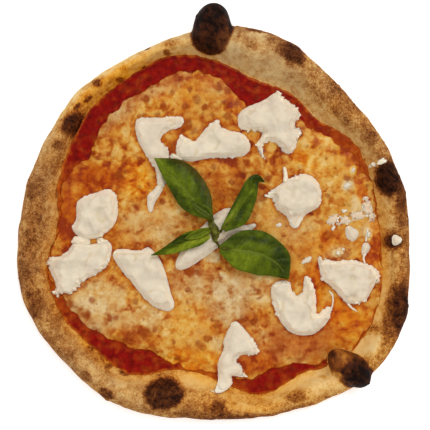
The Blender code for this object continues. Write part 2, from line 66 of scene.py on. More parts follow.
# How baked and how oily the rim is, every 15 degrees counter-clockwise from +X: 0 is raw, 1 burnt
# From 255 to 300 degrees, where the outer side faces away from the light, its bake also stands for
# painted shade, not only browning.
OUTSIDE_BAKE = (.48, .50, .40, .48, .27, .08, .22, .06, .14, .10, .18, .40,
                .46, .40, .44, .33, .32, .46, .66, .66, .42, .30, .58, .48)
CREST_BAKE = (.20, .38, .32, .40, .38, .15, .12, .00, .20, .22, .28, .50,
              .46, .50, .44, .30, .22, .28, .36, .00, .06, .14, .62, .36)
INSIDE_BAKE = (.14, .28, .14, .12, .11, .12, .15, .16, .26, .26, .38, .36,
               .22, .32, .36, .34, .20, .22, .28, .20, .00, .00, .04, .10)
CREST_OIL = (.15, .10, .05, .05, .05, .05, .10, .35, .90, .80, .20, .05,
             .10, .10, .10, .15, .15, .20, .45, .55, .15, .05, .10, .20)
INSIDE_OIL = (.65, .45, .25, .12, .08, .12, .20, .60, 1.0, .90, .60, .40,
              .40, .60, .60, .85, .55, .60, .75, .75, .55, .35, .35, .65)
PALE_DOUGH = (.55, .50, .45, .55, .25, .10, .20, .60, .75, .75, .45, .30,
              .35, .30, .30, .25, .35, .45, .65, .95, 1.0, 1.0, 1.0, .80)
# Browned and burnt places, and at (21, 146) a place beside the top bubble that is made darker:
# x, y, half length, half width, turn in degrees, how baked, softness
DOUGH_SPOTS = (
    (52, 137, 11, 9, -40, .46, .5), (62.5, 127.5, 11.5, 8.5, -45, .82, .45),
    (29, 134, 6, 5, 0, .42, .6), (30, 147, 14, 2.5, -12, .66, .4),
    (98, 99, 10, 6, -50, .56, .6), (111, 84, 10, 6, -45, .54, .6), (99, 82, 6, 4, 0, .52, .5),
    (105, 72, 4, 3, 0, .46, .5), (123.5, 62, 9, 5, -60, .56, .5), (134, 47, 5, 4, 0, .44, .5),
    (151, 17, 23, 5.5, 82, .72, .4), (139.2, 27.3, 14.2, 9.6, 97, .92, .25),
    (149, -6, 7, 5, 90, .56, .5), (145.5, -22.5, 10, 9, 0, .54, .5), (143.5, -24, 6.5, 5.5, 0, .84, .4),
    (152, -45, 14, 5, 90, .5, .6), (142, -82, 17, 6, 85, .56, .5), (149.5, -77.5, 20, 8.5, 88, .87, .4),
    (128, -96, 7, 4, 60, .48, .6), (129, -119, 3, 2, 0, .34, .5),
    (-40.5, -145.7, 16, 12.2, 5, .86, .22),
    (-113, 70.5, 13, 9, 55, .56, .5), (-113.2, 70.6, 9, 7.4, 50, .84, .35),
    (-94.4, 102.9, 4, 3.2, 30, .70, .6), (-76, 106.2, 3.2, 2.4, 0, .64, .6),
    (-57.2, 115.8, 2.8, 1.6, 60, .80, .4), (-101.6, 90, 4, 1.6, 40, .66, .5),
    (-110, 84, 4.5, 1.8, 50, .66, .5), (-54, 131.7, 2.4, .8, 20, .8, .4),
    (-38.5, 128.4, 3, 2.2, 0, .56, .5), (-35, 135, 6, 4, 0, .40, .6), (-126, 54, 5, 4, 40, .60, .5),
    (-146.2, 16.2, 7, 4.5, 95, .60, .6), (-147, -21, 9, 4.5, 90, .62, .6),
    (-152, -50, 8, 4.5, 95, .62, .6), (-143, -77, 8, 5, 75, .70, .5),
    (-131.6, -100.4, 6, 4, -50, .54, .6), (-117, -113.4, 6, 5, -40, .52, .6),
    (-102.5, -131.2, 5, 4.2, -40, .56, .5), (-86.6, -145.7, 6, 4.6, -30, .70, .4),
    (-74, -151.5, 5, 3, 0, .42, .6), (-80.6, -116.6, 6.5, 5.5, 0, .62, .5),
    (-73.3, -130.4, 4, 1.8, -15, .64, .4), (-85.5, -124.7, 3, 2, 0, .62, .4),
    (2.6, -155.7, 6, 5, 0, .72, .5), (12, -166.5, 16, 2.4, 3, .68, .4),
    (65, -147.9, 10, 5, 15, .50, .6), (34, -154.7, 8, 3.5, 5, .22, .7),
    (50, -156, 12, 4, 5, .34, .6), (21, 146, 5, 8, 0, .42, .6), (62, -138.5, 12, 4, 28, .0, .5),
    (126, -106, 9, 6, 55, .0, .5), (97, -131, 6, 6, 30, .08, .5), (-13, -136, 17, 5.5, -14, .0, .5),
)
# Large burst bubbles: centre, half sizes, turn; then the places on them, as for the spots
BURST_BUBBLES = (
    ((-2.0, 147.5, 15.5), (20.5, 15.5, 14.0), 82,
     ((-2, 147, 30, 30, 0, .94, .1), (-5, 160, 15, 12, 0, 1.0, .4), (8, 136, 10, 5.5, 75, .76, .6),
      (-9, 138, 8, 5, 100, .88, .5))),
    ((108.6, -125.6, 15.0), (20.5, 11.8, 11.5), -38,
     ((108, -125, 30, 30, 0, .70, .1), (116, -131, 14, 12, -48, 1.0, .6),
      (101, -114, 7, 5, -30, .50, .6), (92, -113, 4, 4, 0, .84, .6), (96, -131, 5, 4, 0, .32, .5))),
)


def solid_tree(node_name):
    """Search tree of a CAD node, in millimetres."""
    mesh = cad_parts[node_name].data
    points = [vertex.co / MM for vertex in mesh.vertices]
    return BVHTree.FromPolygons(points, [tuple(face.vertices) for face in mesh.polygons])


def grain(points, size, seed):
    """Soft random relief, between about -1 and 1, with lumps of one size. A seed gives its own."""
    scaled = points / size + np.array((7.31, 3.17, 5.73)) * seed
    cell = np.floor(scaled).astype(np.int64)
    part = scaled - cell
    fade = part ** 3 * (part * (part * 6 - 15) + 10)
    total = np.zeros(len(points))
    for corner in itertools.product((0, 1), repeat=3):
        x, y, z = (cell + np.array(corner)).T
        mixed = x * 73856093 ^ y * 19349663 ^ z * 83492791
        mixed = (mixed ^ (mixed >> 13)) * 1274126177
        mixed = (mixed ^ (mixed >> 17)) & 0x3FFFFFFF
        away = part - np.array(corner)
        slope = np.stack((mixed & 1023, mixed >> 10 & 1023, mixed >> 20 & 1023), axis=1) / 511.5 - 1
        weight = np.prod(np.where(corner, fade, 1 - fade), axis=1)
        total += weight * np.sum(slope * away, axis=1)
    return 1.5 * total


def rough(points, size, seed, octaves=3):
    """Random relief of one size with finer and lower relief on it."""
    return sum(grain(points, size / 2 ** octave, seed + 11 * octave) / 2 ** octave
               for octave in range(octaves))


def eased_step(low, high, values):
    """0 below low, 1 above high, and smooth between."""
    share = np.clip((values - low) / (high - low), 0, 1)
    return share * share * (3 - 2 * share)


def on_ellipse(points, x, y, half_length, half_width, turn):
    """How far points lie along and across a turned ellipse, as shares of its half sizes."""
    cosine = math.cos(math.radians(turn))
    sine = math.sin(math.radians(turn))
    along = ((points[:, 0] - x) * cosine + (points[:, 1] - y) * sine) / half_length
    across = ((points[:, 1] - y) * cosine - (points[:, 0] - x) * sine) / half_width
    return along, across


def paint(values, points, spots, seed):
    """Brings values to each spot's own, one after another, inside an ellipse.

    A spot with a soft edge also has a more ragged one.
    """
    for number, (*ellipse, value, softness) in enumerate(spots):
        distance = np.hypot(*on_ellipse(points, *ellipse))
        near = np.flatnonzero(distance < 1.6 + softness)
        if len(near):
            size = 0.35 * ellipse[3] + 1.2
            ragged = distance[near] + 0.5 * softness * rough(points[near], size, seed + number)
            share = 1 - eased_step(1 - softness, 1 + softness, ragged)
            values[near] += (value - values[near]) * share
    return values


def even_angles(count):
    """Angles spaced evenly round a circle."""
    return np.arange(count) * math.tau / count


def by_angle(values, angles):
    """Values that stand at even angles round the pizza, blended between."""
    return np.interp(angles, even_angles(len(values)), values, period=math.tau)


def round_points(radius, angles, heights):
    """Points at radii and angles about the dough's centre."""
    return np.stack((DOUGH_CENTRE[0] + radius * np.cos(angles),
                     DOUGH_CENTRE[1] + radius * np.sin(angles), heights), axis=-1).reshape(-1, 3)


def ring_faces(rows, steps):
    """Quads between rows that each close into a ring, and a face over each end row.

    They face outwards where the rows rise on the outside.
    """
    row = np.arange(rows - 1)[:, None] * steps
    step = np.arange(steps)[None, :]
    following = (step + 1) % steps
    quads = np.stack((row + step, row + following, row + steps + following, row + steps + step),
                     axis=2)
    last = (rows - 1) * steps
    ends = [list(range(steps))[::-1], list(range(last, last + steps))]
    return quads.reshape(-1, 4).tolist() + ends


def grid_normals(points, rows, steps):
    """Directions that face outwards at the points of such rows."""
    grid = points.reshape(rows, steps, 3)
    along = np.roll(grid, -1, axis=1) - np.roll(grid, 1, axis=1)
    up = np.gradient(grid, axis=0)
    normals = np.cross(along, up).reshape(-1, 3)
    return normals / np.maximum(np.linalg.norm(normals, axis=1), 1e-9)[:, None]


def placed(name, data):
    """A new object of the scene that holds a mesh, a lamp or a camera."""
    item = bpy.data.objects.new(name, data)
    bpy.context.scene.collection.objects.link(item)
    return item


def make_piece(name, points, faces, finish, **attributes):
    """One object of the pizza from points in millimetres, with its named values at each point."""
    mesh = bpy.data.meshes.new(name)
    mesh.from_pydata((points * MM).tolist(), [], [list(map(int, face)) for face in faces])
    mesh.update()
    mesh.shade_smooth()
    for field, values in attributes.items():
        layer = mesh.attributes.new(field, "FLOAT", "POINT")
        layer.data.foreach_set("value", np.asarray(values, dtype=np.float32))
    mesh.materials.append(finish)
    return placed(name, mesh)


def shown(red, green, blue):
    """The colour that a screen shows with these values from 0 to 255, as a shader takes it."""
    return tuple((value / 255 / 12.92) if value < 11 else ((value / 255 + 0.055) / 1.055) ** 2.4
                 for value in (red, green, blue)) + (1.0,)


def new_finish(name, **constants):
    """A material whose constant values stand on its Principled shader's own sockets."""
    finish = bpy.data.materials.new(name)
    finish.use_nodes = True
    shader = finish.node_tree.nodes["Principled BSDF"]
    for socket, value in constants.items():
        shader.inputs[socket.replace("_", " ")].default_value = value
    return finish


def add_to(tree, kind, inputs, **settings):
    """One node of a tree. Each of its inputs, by name or number, is a value or another's output."""
    node = tree.nodes.new(kind)
    for field, value in settings.items():
        setattr(node, field, value)
    for socket, value in inputs.items():
        if isinstance(value, bpy.types.NodeSocket):
            tree.links.new(value, node.inputs[socket])
        else:
            node.inputs[socket].default_value = value
    return node


def add_node(finish, kind, inputs, **settings):
    """One node of a material."""
    return add_to(finish.node_tree, kind, inputs, **settings)


def attribute(finish, field):
    """A value that the mesh holds at each point."""
    return add_node(finish, "ShaderNodeAttribute", {}, attribute_name=field).outputs["Fac"]


def mottle(finish, size, seed, detail=3.0, roughness=0.55):
    """Noise between 0 and 1 over the piece, with patches of one size in millimetres."""
    place = add_node(finish, "ShaderNodeTexCoord", {}).outputs["Object"]
    noise = add_node(finish, "ShaderNodeTexNoise",
                     {"Vector": place, "W": float(seed), "Scale": 1 / (size * MM), "Detail": detail,
                      "Roughness": roughness}, noise_dimensions="4D")
    return noise.outputs["Fac"]


def maths(finish, operation, *values):
    """A sum on one, two or three values."""
    return add_node(finish, "ShaderNodeMath", dict(enumerate(values)), operation=operation).outputs[0]


def spread(finish, value, low, high, new_low, new_high):
    """A value taken from one range to another, and kept inside it."""
    ranges = {0: value, 1: low, 2: high, 3: new_low, 4: new_high}
    return add_node(finish, "ShaderNodeMapRange", ranges).outputs[0]


def shades(finish, share, *stops):
    """A run of colours as a screen shows them, each after its own share."""
    node = add_node(finish, "ShaderNodeValToRGB", {0: share})
    elements = node.color_ramp.elements
    while len(elements) < len(stops):
        elements.new(1.0)
    for element, (position, *colour) in zip(elements, stops):
        element.position = position
        element.color = shown(*colour)
    return node.outputs["Color"]


def blend(finish, share, low, high):
    """One colour over another."""
    return add_node(finish, "ShaderNodeMix", {0: share, 6: low, 7: high}, data_type="RGBA").outputs[2]


def set_finish(finish, colour, roughness, height, depth, strength):
    """Leads colour, roughness and fine relief, whose depth is in millimetres, to the shader."""
    shader = finish.node_tree.nodes["Principled BSDF"]
    relief = add_node(finish, "ShaderNodeBump", {"Strength": strength, "Distance": depth * MM,
                                                 "Height": height}).outputs[0]
    for value, socket in ((colour, "Base Color"), (roughness, "Roughness"), (relief, "Normal")):
        finish.node_tree.links.new(value, shader.inputs[socket])


def dough_finish():
    """Baked dough: floury, pale or oily, from raw to burnt, and speckled where it is browned.

    Its underside is dry, with scorched spots where it lay on the oven's floor.
    """
    finish = new_finish("baked dough", IOR=1.45, Specular_IOR_Level=0.06)
    fine = mottle(finish, 1.2, 1, 3.0, 0.7)
    patches = mottle(finish, 5.0, 2, 4.0, 0.6)
    scorched = spread(finish, mottle(finish, 14.0, 27, 3.0, 0.6), 0.54, 0.66, 0.24, 0.92)
    baked = add_node(finish, "ShaderNodeMix", {0: attribute(finish, "under"),
                                               2: attribute(finish, "bake"), 3: scorched}).outputs[0]
    rawness = maths(finish, "SUBTRACT", 1.0, baked)
    speckle = maths(finish, "MULTIPLY", maths(finish, "MULTIPLY", baked, rawness), 3.4)
    speckle = maths(finish, "ADD", speckle, 0.34)
    matter = spread(finish, attribute(finish, "gloss"), 0, 1, 1, 0.3)
    speckle = maths(finish, "MULTIPLY", speckle, matter)
    speckle = maths(finish, "MULTIPLY", speckle, maths(finish, "SUBTRACT", fine, 0.5))
    soft = maths(finish, "MULTIPLY", maths(finish, "SUBTRACT", patches, 0.5), 0.75)
    share = maths(finish, "ADD", maths(finish, "ADD", baked, speckle), soft)
    floury = shades(finish, share, (0.0, 204, 174, 124), (0.22, 182, 142, 92), (0.45, 151, 101, 56),
                    (0.65, 108, 62, 29), (0.85, 66, 32, 15), (1.0, 22, 8, 4))
    pale = shades(finish, share, (0.0, 230, 196, 134), (0.22, 212, 162, 86), (0.42, 176, 112, 46),
                  (0.62, 122, 66, 26), (0.85, 68, 33, 15), (1.0, 22, 8, 4))
    oily = shades(finish, share, (0.0, 232, 168, 52), (0.25, 212, 136, 28), (0.45, 172, 92, 12),
                  (0.65, 112, 48, 8), (0.85, 62, 24, 8), (1.0, 30, 11, 6))
    dry = blend(finish, attribute(finish, "pale"), floury, pale)
    colour = blend(finish, attribute(finish, "oil"), dry, oily)
    matt = spread(finish, attribute(finish, "oil"), 0.0, 1.0, 0.82, 0.45)
    gloss = attribute(finish, "gloss")
    roughness = maths(finish, "SUBTRACT", matt, maths(finish, "MULTIPLY", gloss, 0.25))
    set_finish(finish, colour, roughness, fine, 0.35, 0.8)
    return finish


def felt_sections():
    """Radius and height of the crust's skin, from under the rim, over it, to its inner foot."""
    crust = solid_tree("crust")
    sauce = solid_tree("tomato_sauce")
    sections = np.zeros((DOUGH_STEPS, DOUGH_ROWS, 2))
    feet = np.zeros(DOUGH_STEPS)
    edges = np.zeros(DOUGH_STEPS)
    middle = Vector((*DOUGH_CENTRE, 0))
    for step in range(DOUGH_STEPS):
        angle = math.tau * step / DOUGH_STEPS
        outward = Vector((math.cos(angle), math.sin(angle), 0))
        level = middle + Vector((0, 0, BASE_TOP + SAUCE_CLEARANCE))
        feet[step] = sauce.ray_cast(level, outward)[3] + SAUCE_CLEARANCE
        start = middle + outward * FAR_OUT + Vector((0, 0, CORE_HEIGHT))
        edges[step] = FAR_OUT - crust.ray_cast(start, -outward)[3]
        core_radius = (feet[step] + edges[step]) / 2
        core = middle + outward * core_radius + Vector((0, 0, CORE_HEIGHT))
        section = []
        for swing in np.linspace(-math.pi / 2, math.pi / 2, DOUGH_RAYS):
            direction = outward * math.cos(swing) + Vector((0, 0, math.sin(swing)))
            distance = crust.ray_cast(core, direction)[3]
            section.append((core_radius + distance * math.cos(swing),
                            CORE_HEIGHT + distance * math.sin(swing)))
        for radius in np.linspace(core_radius, feet[step] - INSIDE_FOOT, DOUGH_RAYS)[1:]:
            above = middle + outward * radius + Vector((0, 0, ABOVE_ALL))
            section.append((radius, crust.ray_cast(above, DOWN)[0].z))
        section = np.array(section)
        lengths = np.concatenate(((0,), np.cumsum(np.linalg.norm(np.diff(section, axis=0), axis=1))))
        marks = np.linspace(0, lengths[-1], DOUGH_ROWS)
        for side in (0, 1):
            sections[step, :, side] = np.interp(marks, lengths, section[:, side])
    for _ in range(3):
        sections = (np.roll(sections, 1, axis=0) + 2 * sections + np.roll(sections, -1, axis=0)) / 4
        inner = (sections[:, :-2] + 2 * sections[:, 1:-1] + sections[:, 2:]) / 4
        sections[:, 1:-1] = inner
    return sections, feet, edges


def bubble_share(points, centre, half_sizes, turn):
    """1 on a large bubble, fading out where it grows from the rim."""
    along, across = on_ellipse(points, *centre[:2], *half_sizes[:2], turn)
    above = (points[:, 2] - centre[2]) / half_sizes[2]
    distance = np.sqrt(along ** 2 + across ** 2 + above ** 2)
    return 1 - eased_step(1.05, 1.22, distance)


def make_dough():
    """The whole skin of the dough: underside, rim and the base under the sauce."""
    sections, feet, edges = felt_sections()
    angles = even_angles(DOUGH_STEPS)
    under_shares = (0.02, 0.15, 0.3, 0.45, 0.6, 0.72, 0.82, 0.9, 0.96)
    base_shares = (0.8, 0.4, 0.02)
    rows = [np.stack((share * sections[:, 0, 0], np.zeros(DOUGH_STEPS)), axis=1)
            for share in under_shares]
    rows += [sections[:, row] for row in range(DOUGH_ROWS)]
    rows += [np.stack((share * (feet - INSIDE_FOOT), np.full(DOUGH_STEPS, BASE_TOP)), axis=1)
             for share in base_shares]
    profile = np.stack(rows)
    radius = profile[:, :, 0]
    points = round_points(radius, angles, profile[:, :, 1])
    count = len(rows)
    all_angles = np.tile(angles, count)
    all_feet = np.tile(feet, count)
    all_edges = np.tile(edges, count)
    radius = radius.reshape(-1)
    inwards = np.clip((all_edges - radius) / (all_edges - all_feet), 0, 1)
    normals = grid_normals(points, count, DOUGH_STEPS)

    outside = by_angle(OUTSIDE_BAKE, all_angles)
    crest = by_angle(CREST_BAKE, all_angles)
    inside = by_angle(INSIDE_BAKE, all_angles)
    to_crest = eased_step(0.08, 0.42, inwards)
    to_inside = eased_step(0.5, 0.88, inwards)
    bake = outside + (crest - outside) * to_crest + (inside - crest) * to_inside
    bake += 0.13 * rough(points, 13, 4) + 0.10 * rough(points, 4.5, 5)
    bake = paint(bake, points, DOUGH_SPOTS, 20)
    side = eased_step(0.35, -0.35, normals[:, 2])
    side_bake = 0.26 + 0.14 * rough(points, 15, 6) + 0.25 * eased_step(3.0, 0.0, points[:, 2])
    bake += (side_bake - bake) * side * eased_step(-0.2, 0.35, 0.95 - bake)
    under = eased_step(-0.7, -0.95, normals[:, 2])
    gloss = np.zeros(len(points))
    bubbles = np.zeros(len(points))
    for centre, half_sizes, turn, places in BURST_BUBBLES:
        share = bubble_share(points, centre, half_sizes, turn)
        burnt = paint(bake.copy(), points, places, 60) + 0.05 * rough(points, 6, 9)
        bake += (burnt - bake) * share
        gloss = np.maximum(gloss, share)
        bubbles = np.maximum(bubbles, share)
    bake = np.clip(bake, 0, 1)

    oil = by_angle(INSIDE_OIL, all_angles) * eased_step(0.45, 0.95, inwards)
    oil = np.maximum(oil, by_angle(CREST_OIL, all_angles) * eased_step(0.1, 0.4, inwards))
    oil = np.clip(oil + 0.25 * rough(points, 9, 10) * np.sqrt(np.maximum(oil, 0)), 0, 1)
    oil *= (1 - side) * (1 - 0.3 * bubbles)
    pale = by_angle(PALE_DOUGH, all_angles) + 0.3 * rough(points, 18, 12)
    pale = np.clip(np.maximum(pale, 0.5 * side), 0, 1)
    soaked = 0.25 + 0.75 * by_angle(INSIDE_OIL, all_angles)
    stain = eased_step(0.84, 1.0, inwards + 0.06 * rough(points, 5, 16)) * soaked
    stain *= (1 - bubbles) * (1 - side)
    bake = np.clip(bake + 0.22 * stain, 0, 1)
    oil = np.maximum(oil, stain)

    grainy = eased_step(0.3, 0.6, bake) * (1 - bubbles)
    relief = 0.40 * rough(points, 10, 13, 2) + (0.05 + 0.08 * grainy) * rough(points, 2.4, 14)
    relief += 0.15 * bubbles * grain(points, 5, 15)
    on_top = eased_step(-0.6, 0.0, normals[:, 2]) * eased_step(0, 5, radius - all_feet)
    points = points + normals * (relief * on_top)[:, None]
    points[:, 2] = np.maximum(points[:, 2], 0)
    faces = ring_faces(count, DOUGH_STEPS)
    dough = make_piece("dough", points, faces, dough_finish(), bake=bake, oil=oil, pale=pale,
                       gloss=gloss, under=under)
    return dough, points, faces, feet


def scatter_tree(tree_name):
    """Geometry Nodes: small flattened lumps set on a surface where one of its fields is high.

    Inputs: the surface, how many to the square metre, their radius, how flat they are, how uneven,
    the seed, the field's name, the least of it that takes a lump, and the finish.
    """
    tree = bpy.data.node_groups.new(tree_name, "GeometryNodeTree")
    for label, kind in (("Geometry", "Geometry"), ("Density", "Float"), ("Radius", "Float"),
                        ("Flatness", "Float"), ("Unevenness", "Float"), ("Seed", "Int"),
                        ("Field", "String"), ("Least", "Float"), ("Finish", "Material")):
        tree.interface.new_socket(label, in_out="INPUT", socket_type="NodeSocket" + kind)
    tree.interface.new_socket("Geometry", in_out="OUTPUT", socket_type="NodeSocketGeometry")

    def add(kind, inputs, **settings):
        return add_to(tree, kind, inputs, **settings).outputs

    given = add("NodeGroupInput", {})
    field = add("GeometryNodeInputNamedAttribute", {"Name": given["Field"]},
                data_type="FLOAT")["Attribute"]
    enough = add("FunctionNodeCompare", {0: field, 1: given["Least"]}, operation="GREATER_THAN")[0]
    facing = add("ShaderNodeSeparateXYZ", {0: add("GeometryNodeInputNormal", {})[0]})["Z"]
    upward = add("FunctionNodeCompare", {0: facing, 1: 0.25}, operation="GREATER_THAN")[0]
    chosen = add("FunctionNodeBooleanMath", {0: enough, 1: upward}, operation="AND")[0]
    spots = add("GeometryNodeDistributePointsOnFaces",
                {"Mesh": given["Geometry"], "Selection": chosen, "Density": given["Density"],
                 "Seed": given["Seed"]})
    ball = add("GeometryNodeMeshIcoSphere", {"Radius": given["Radius"], "Subdivisions": 2})["Mesh"]
    wide, long = (add("FunctionNodeRandomValue", {2: 0.45, 3: 1.3, "Seed": seed}, data_type="FLOAT")[1]
                  for seed in (given["Seed"], 77))
    high = add("ShaderNodeMath", {0: wide, 1: given["Flatness"]}, operation="MULTIPLY")[0]
    scale = add("ShaderNodeCombineXYZ", {0: wide, 1: long, 2: high})[0]
    lumps = add("GeometryNodeInstanceOnPoints", {"Points": spots["Points"], "Instance": ball,
                                                 "Rotation": spots["Rotation"], "Scale": scale})[0]
    loose = add("GeometryNodeRealizeInstances", {0: lumps})[0]
    wobble = add("ShaderNodeTexNoise", {"Scale": 700.0, "Detail": 1.0})["Color"]
    centred = add("ShaderNodeVectorMath", {0: wobble, 1: (0.5, 0.5, 0.5)}, operation="SUBTRACT")[0]
    scaled = add("ShaderNodeVectorMath", {0: centred, "Scale": given["Unevenness"]},
                 operation="SCALE")[0]
    uneven = add("GeometryNodeSetPosition", {"Geometry": loose, "Offset": scaled})[0]
    rounded = add("GeometryNodeSetShadeSmooth", {0: uneven})[0]
    finished = add("GeometryNodeSetMaterial", {"Geometry": rounded, "Material": given["Finish"]})[0]
    add("NodeGroupOutput", {0: finished})
    return tree


def scatter(name, surface, finish, slot, **chosen):
    """Small lumps strewn over a piece, made one plain mesh that rides with it."""
    holder = placed(name, surface.data.copy())
    strewn = holder.modifiers.new("strewn", "NODES")
    strewn.node_group = bpy.data.node_groups.get("small lumps") or scatter_tree("small lumps")
    chosen["Finish"] = finish
    for item in strewn.node_group.interface.items_tree:
        if item.in_out == "INPUT" and item.name in chosen:
            strewn[item.identifier] = chosen[item.name]
    depsgraph = bpy.context.evaluated_depsgraph_get()
    mesh = bpy.data.meshes.new_from_object(holder.evaluated_get(depsgraph),
                                           preserve_all_data_layers=True, depsgraph=depsgraph)
    bpy.data.objects.remove(holder)
    piece = placed(name, mesh)
    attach(piece, "root")


dough, dough_points, dough_faces, rim_feet = make_dough()
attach(dough, "root")
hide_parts("crust")
scatter("rim_blisters", dough, dough.data.materials[0], "dough", Density=9000.0, Radius=1.5 * MM,
        Flatness=0.35, Unevenness=0.6 * MM, Seed=3, Field="bake", Least=0.42)


# --------------------------------------------------------------------------------- Tomato sauce
# Crushed tomato spread thinly over the dough. It shows as a dark red band between the cheese and
# the rim, with a little pulp in it, and laps up the foot of the rim in an uneven edge.
SAUCE_TOP = 5.35                # height of its surface
SAUCE_STEPS = 900               # points round each of its rings
SAUCE_EDGE = 130.0              # radius of the circle on which the noise of its edge is read
BUBBLE_OVERHANG = 2.5           # the sauce runs under dough that stands this high over it
# How orange with oil the sauce is, and how far it laps up the rim, every 15 degrees from +X
SAUCE_OIL = (1.0, .95, .60, .25, .08, .00, .00, .00, .00, .00, .00, .60,
             1.0, 1.0, .40, .06, .06, .35, .60, .06, .06, .40, 1.0, 1.0)
SAUCE_LAP = (1.0, 1.0, 1.0, 1.0, 0.8, 0.8, 1.0, 1.5, 2.0, 2.2, 2.0, 1.5,
             1.0, 1.0, 1.2, 1.5, 1.5, 1.2, 1.0, 0.5, 0.5, 0.8, 1.0, 1.0)


def tree_over(points, faces):
    """Search tree of a mesh in millimetres."""
    return BVHTree.FromPolygons(points.tolist(), faces)


def heights_on(tree, points, otherwise):
    """Height of a tree's upper surface over or under each point."""
    heights = np.empty(len(points))
    for index, (x, y) in enumerate(points[:, :2].tolist()):
        hit = tree.ray_cast(Vector((x, y, ABOVE_ALL)), DOWN)[0]
        heights[index] = hit.z if hit else otherwise
    return heights


def circle(angles, radius):
    """Points round a circle, on which the noise of an edge is read."""
    return np.stack((np.cos(angles), np.sin(angles), np.zeros(len(angles))), axis=1) * radius


def sauce_finish():
    """Wet crushed tomato, dark red, turned orange where oil floats on it."""
    finish = new_finish("tomato sauce", IOR=1.4, Specular_IOR_Level=0.10)
    pulp = mottle(finish, 5, 3, 3.0, 0.5)
    red = shades(finish, pulp, (0.3, 98, 5, 3), (0.5, 126, 8, 3), (0.72, 150, 20, 4))
    orange = shades(finish, pulp, (0.3, 140, 52, 5), (0.5, 172, 78, 9), (0.72, 192, 106, 22))
    colour = blend(finish, attribute(finish, "oil"), red, orange)
    roughness = spread(finish, mottle(finish, 6, 4), 0.3, 0.7, 0.22, 0.42)
    set_finish(finish, colour, roughness, mottle(finish, 2.2, 5, 3.0), 0.25, 0.6)
    return finish


def make_sauce(dough_tree):
    """A thin wet sheet over the base, closed underneath."""
    angles = even_angles(SAUCE_STEPS)
    feet = by_angle(rim_feet, angles)
    lap = by_angle(SAUCE_LAP, angles) + 1.1 * rough(circle(angles, SAUCE_EDGE), 7, 20) + 0.5
    outer = feet + np.maximum(lap, 0.2)
    shares = np.concatenate(((0.03, 0.3, 0.5, 0.62), np.linspace(0.7, 1.0, 58)))
    radius = shares[:, None] * outer[None, :]
    flat = round_points(radius, angles, np.zeros_like(radius))
    bed = heights_on(dough_tree, flat, BASE_TOP)
    inwards = (outer[None, :] - radius).reshape(-1)
    level = SAUCE_TOP + 0.28 * rough(flat, 3.2, 21) + 0.25 * rough(flat, 11, 22)
    film = 0.12 + 0.4 * eased_step(0, 3.0, inwards) * (1 + 0.5 * rough(flat, 2.5, 23))
    top = flat.copy()
    top[:, 2] = np.where(bed > level + BUBBLE_OVERHANG, level, np.maximum(level, bed + film))
    edge_drop = eased_step(0.9, 0.0, inwards)
    top[:, 2] += (np.minimum(bed, level + 1) + 0.05 - top[:, 2]) * edge_drop
    count = len(shares)
    under_shares = (1.0, 0.97, 0.9, 0.5, 0.03)
    under_radius = np.array(under_shares)[:, None] * outer[None, :]
    under = round_points(under_radius, angles, np.zeros_like(under_radius))
    under[:, 2] = np.minimum(heights_on(dough_tree, under, BASE_TOP), SAUCE_TOP + 1) - 0.3
    below = under[::-1].reshape(len(under_shares), SAUCE_STEPS, 3)[:, ::-1].reshape(-1, 3)
    points = np.concatenate((below, top.reshape(count, SAUCE_STEPS, 3)[::-1].reshape(-1, 3)))
    faces = ring_faces(count + len(under_shares), SAUCE_STEPS)
    x, y = (points[:, :2] - DOUGH_CENTRE).T
    turned = np.arctan2(y, x) % math.tau
    oil = by_angle(SAUCE_OIL, turned) + 0.35 * rough(points, 8, 24)
    from_edge = by_angle(outer, turned) - np.hypot(x, y)
    oil += 0.8 * eased_step(2.4, 0.3, from_edge + rough(points, 5, 25))
    oil = np.clip(oil, 0, 1)
    band = eased_step(22, 18, from_edge) * eased_step(1.5, 3, from_edge)
    return make_piece("tomato_sauce_layer", points, faces, sauce_finish(), oil=oil, band=band)


dough_tree = tree_over(dough_points, dough_faces)
sauce = make_sauce(dough_tree)
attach(sauce, "root")
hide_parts("tomato_sauce")
scatter("tomato_pulp", sauce, sauce.data.materials[0], "sauce", Density=14000.0, Radius=1.3 * MM,
        Flatness=0.35, Unevenness=0.9 * MM, Seed=5, Field="band", Least=0.5)


# -------------------------------------------------------------------------------- Melted cheese
# Shredded cheese that has melted into one bubbly layer on the sauce. It is cream where it lies
# thick, golden to orange where oil and tomato have come up through it, and browned in spots.
CHEESE_FLOOR = 5.7              # height of its underside
CHEESE_CELLS = 290              # cells along each side of the grid that is wrapped into the round
CHEESE_KNOTS = 720              # places round the layer at which its edge is felt
CHEESE_EDGE = 125.0             # radius of the circle on which the noise of its edge is read
# How far the layer has spread past its solid towards the rim, every 15 degrees from +X
CHEESE_SPREAD = (4.5, 4.5, 3.5, 1.0, 0.0, 0.0, 1.5, 1.5, -0.5, 3.0, -5.0, 3.0,
                 3.5, 3.0, 1.0, -2.0, -2.0, 1.5, 1.5, -4.0, -1.5, 6.0, 5.0, 4.5)
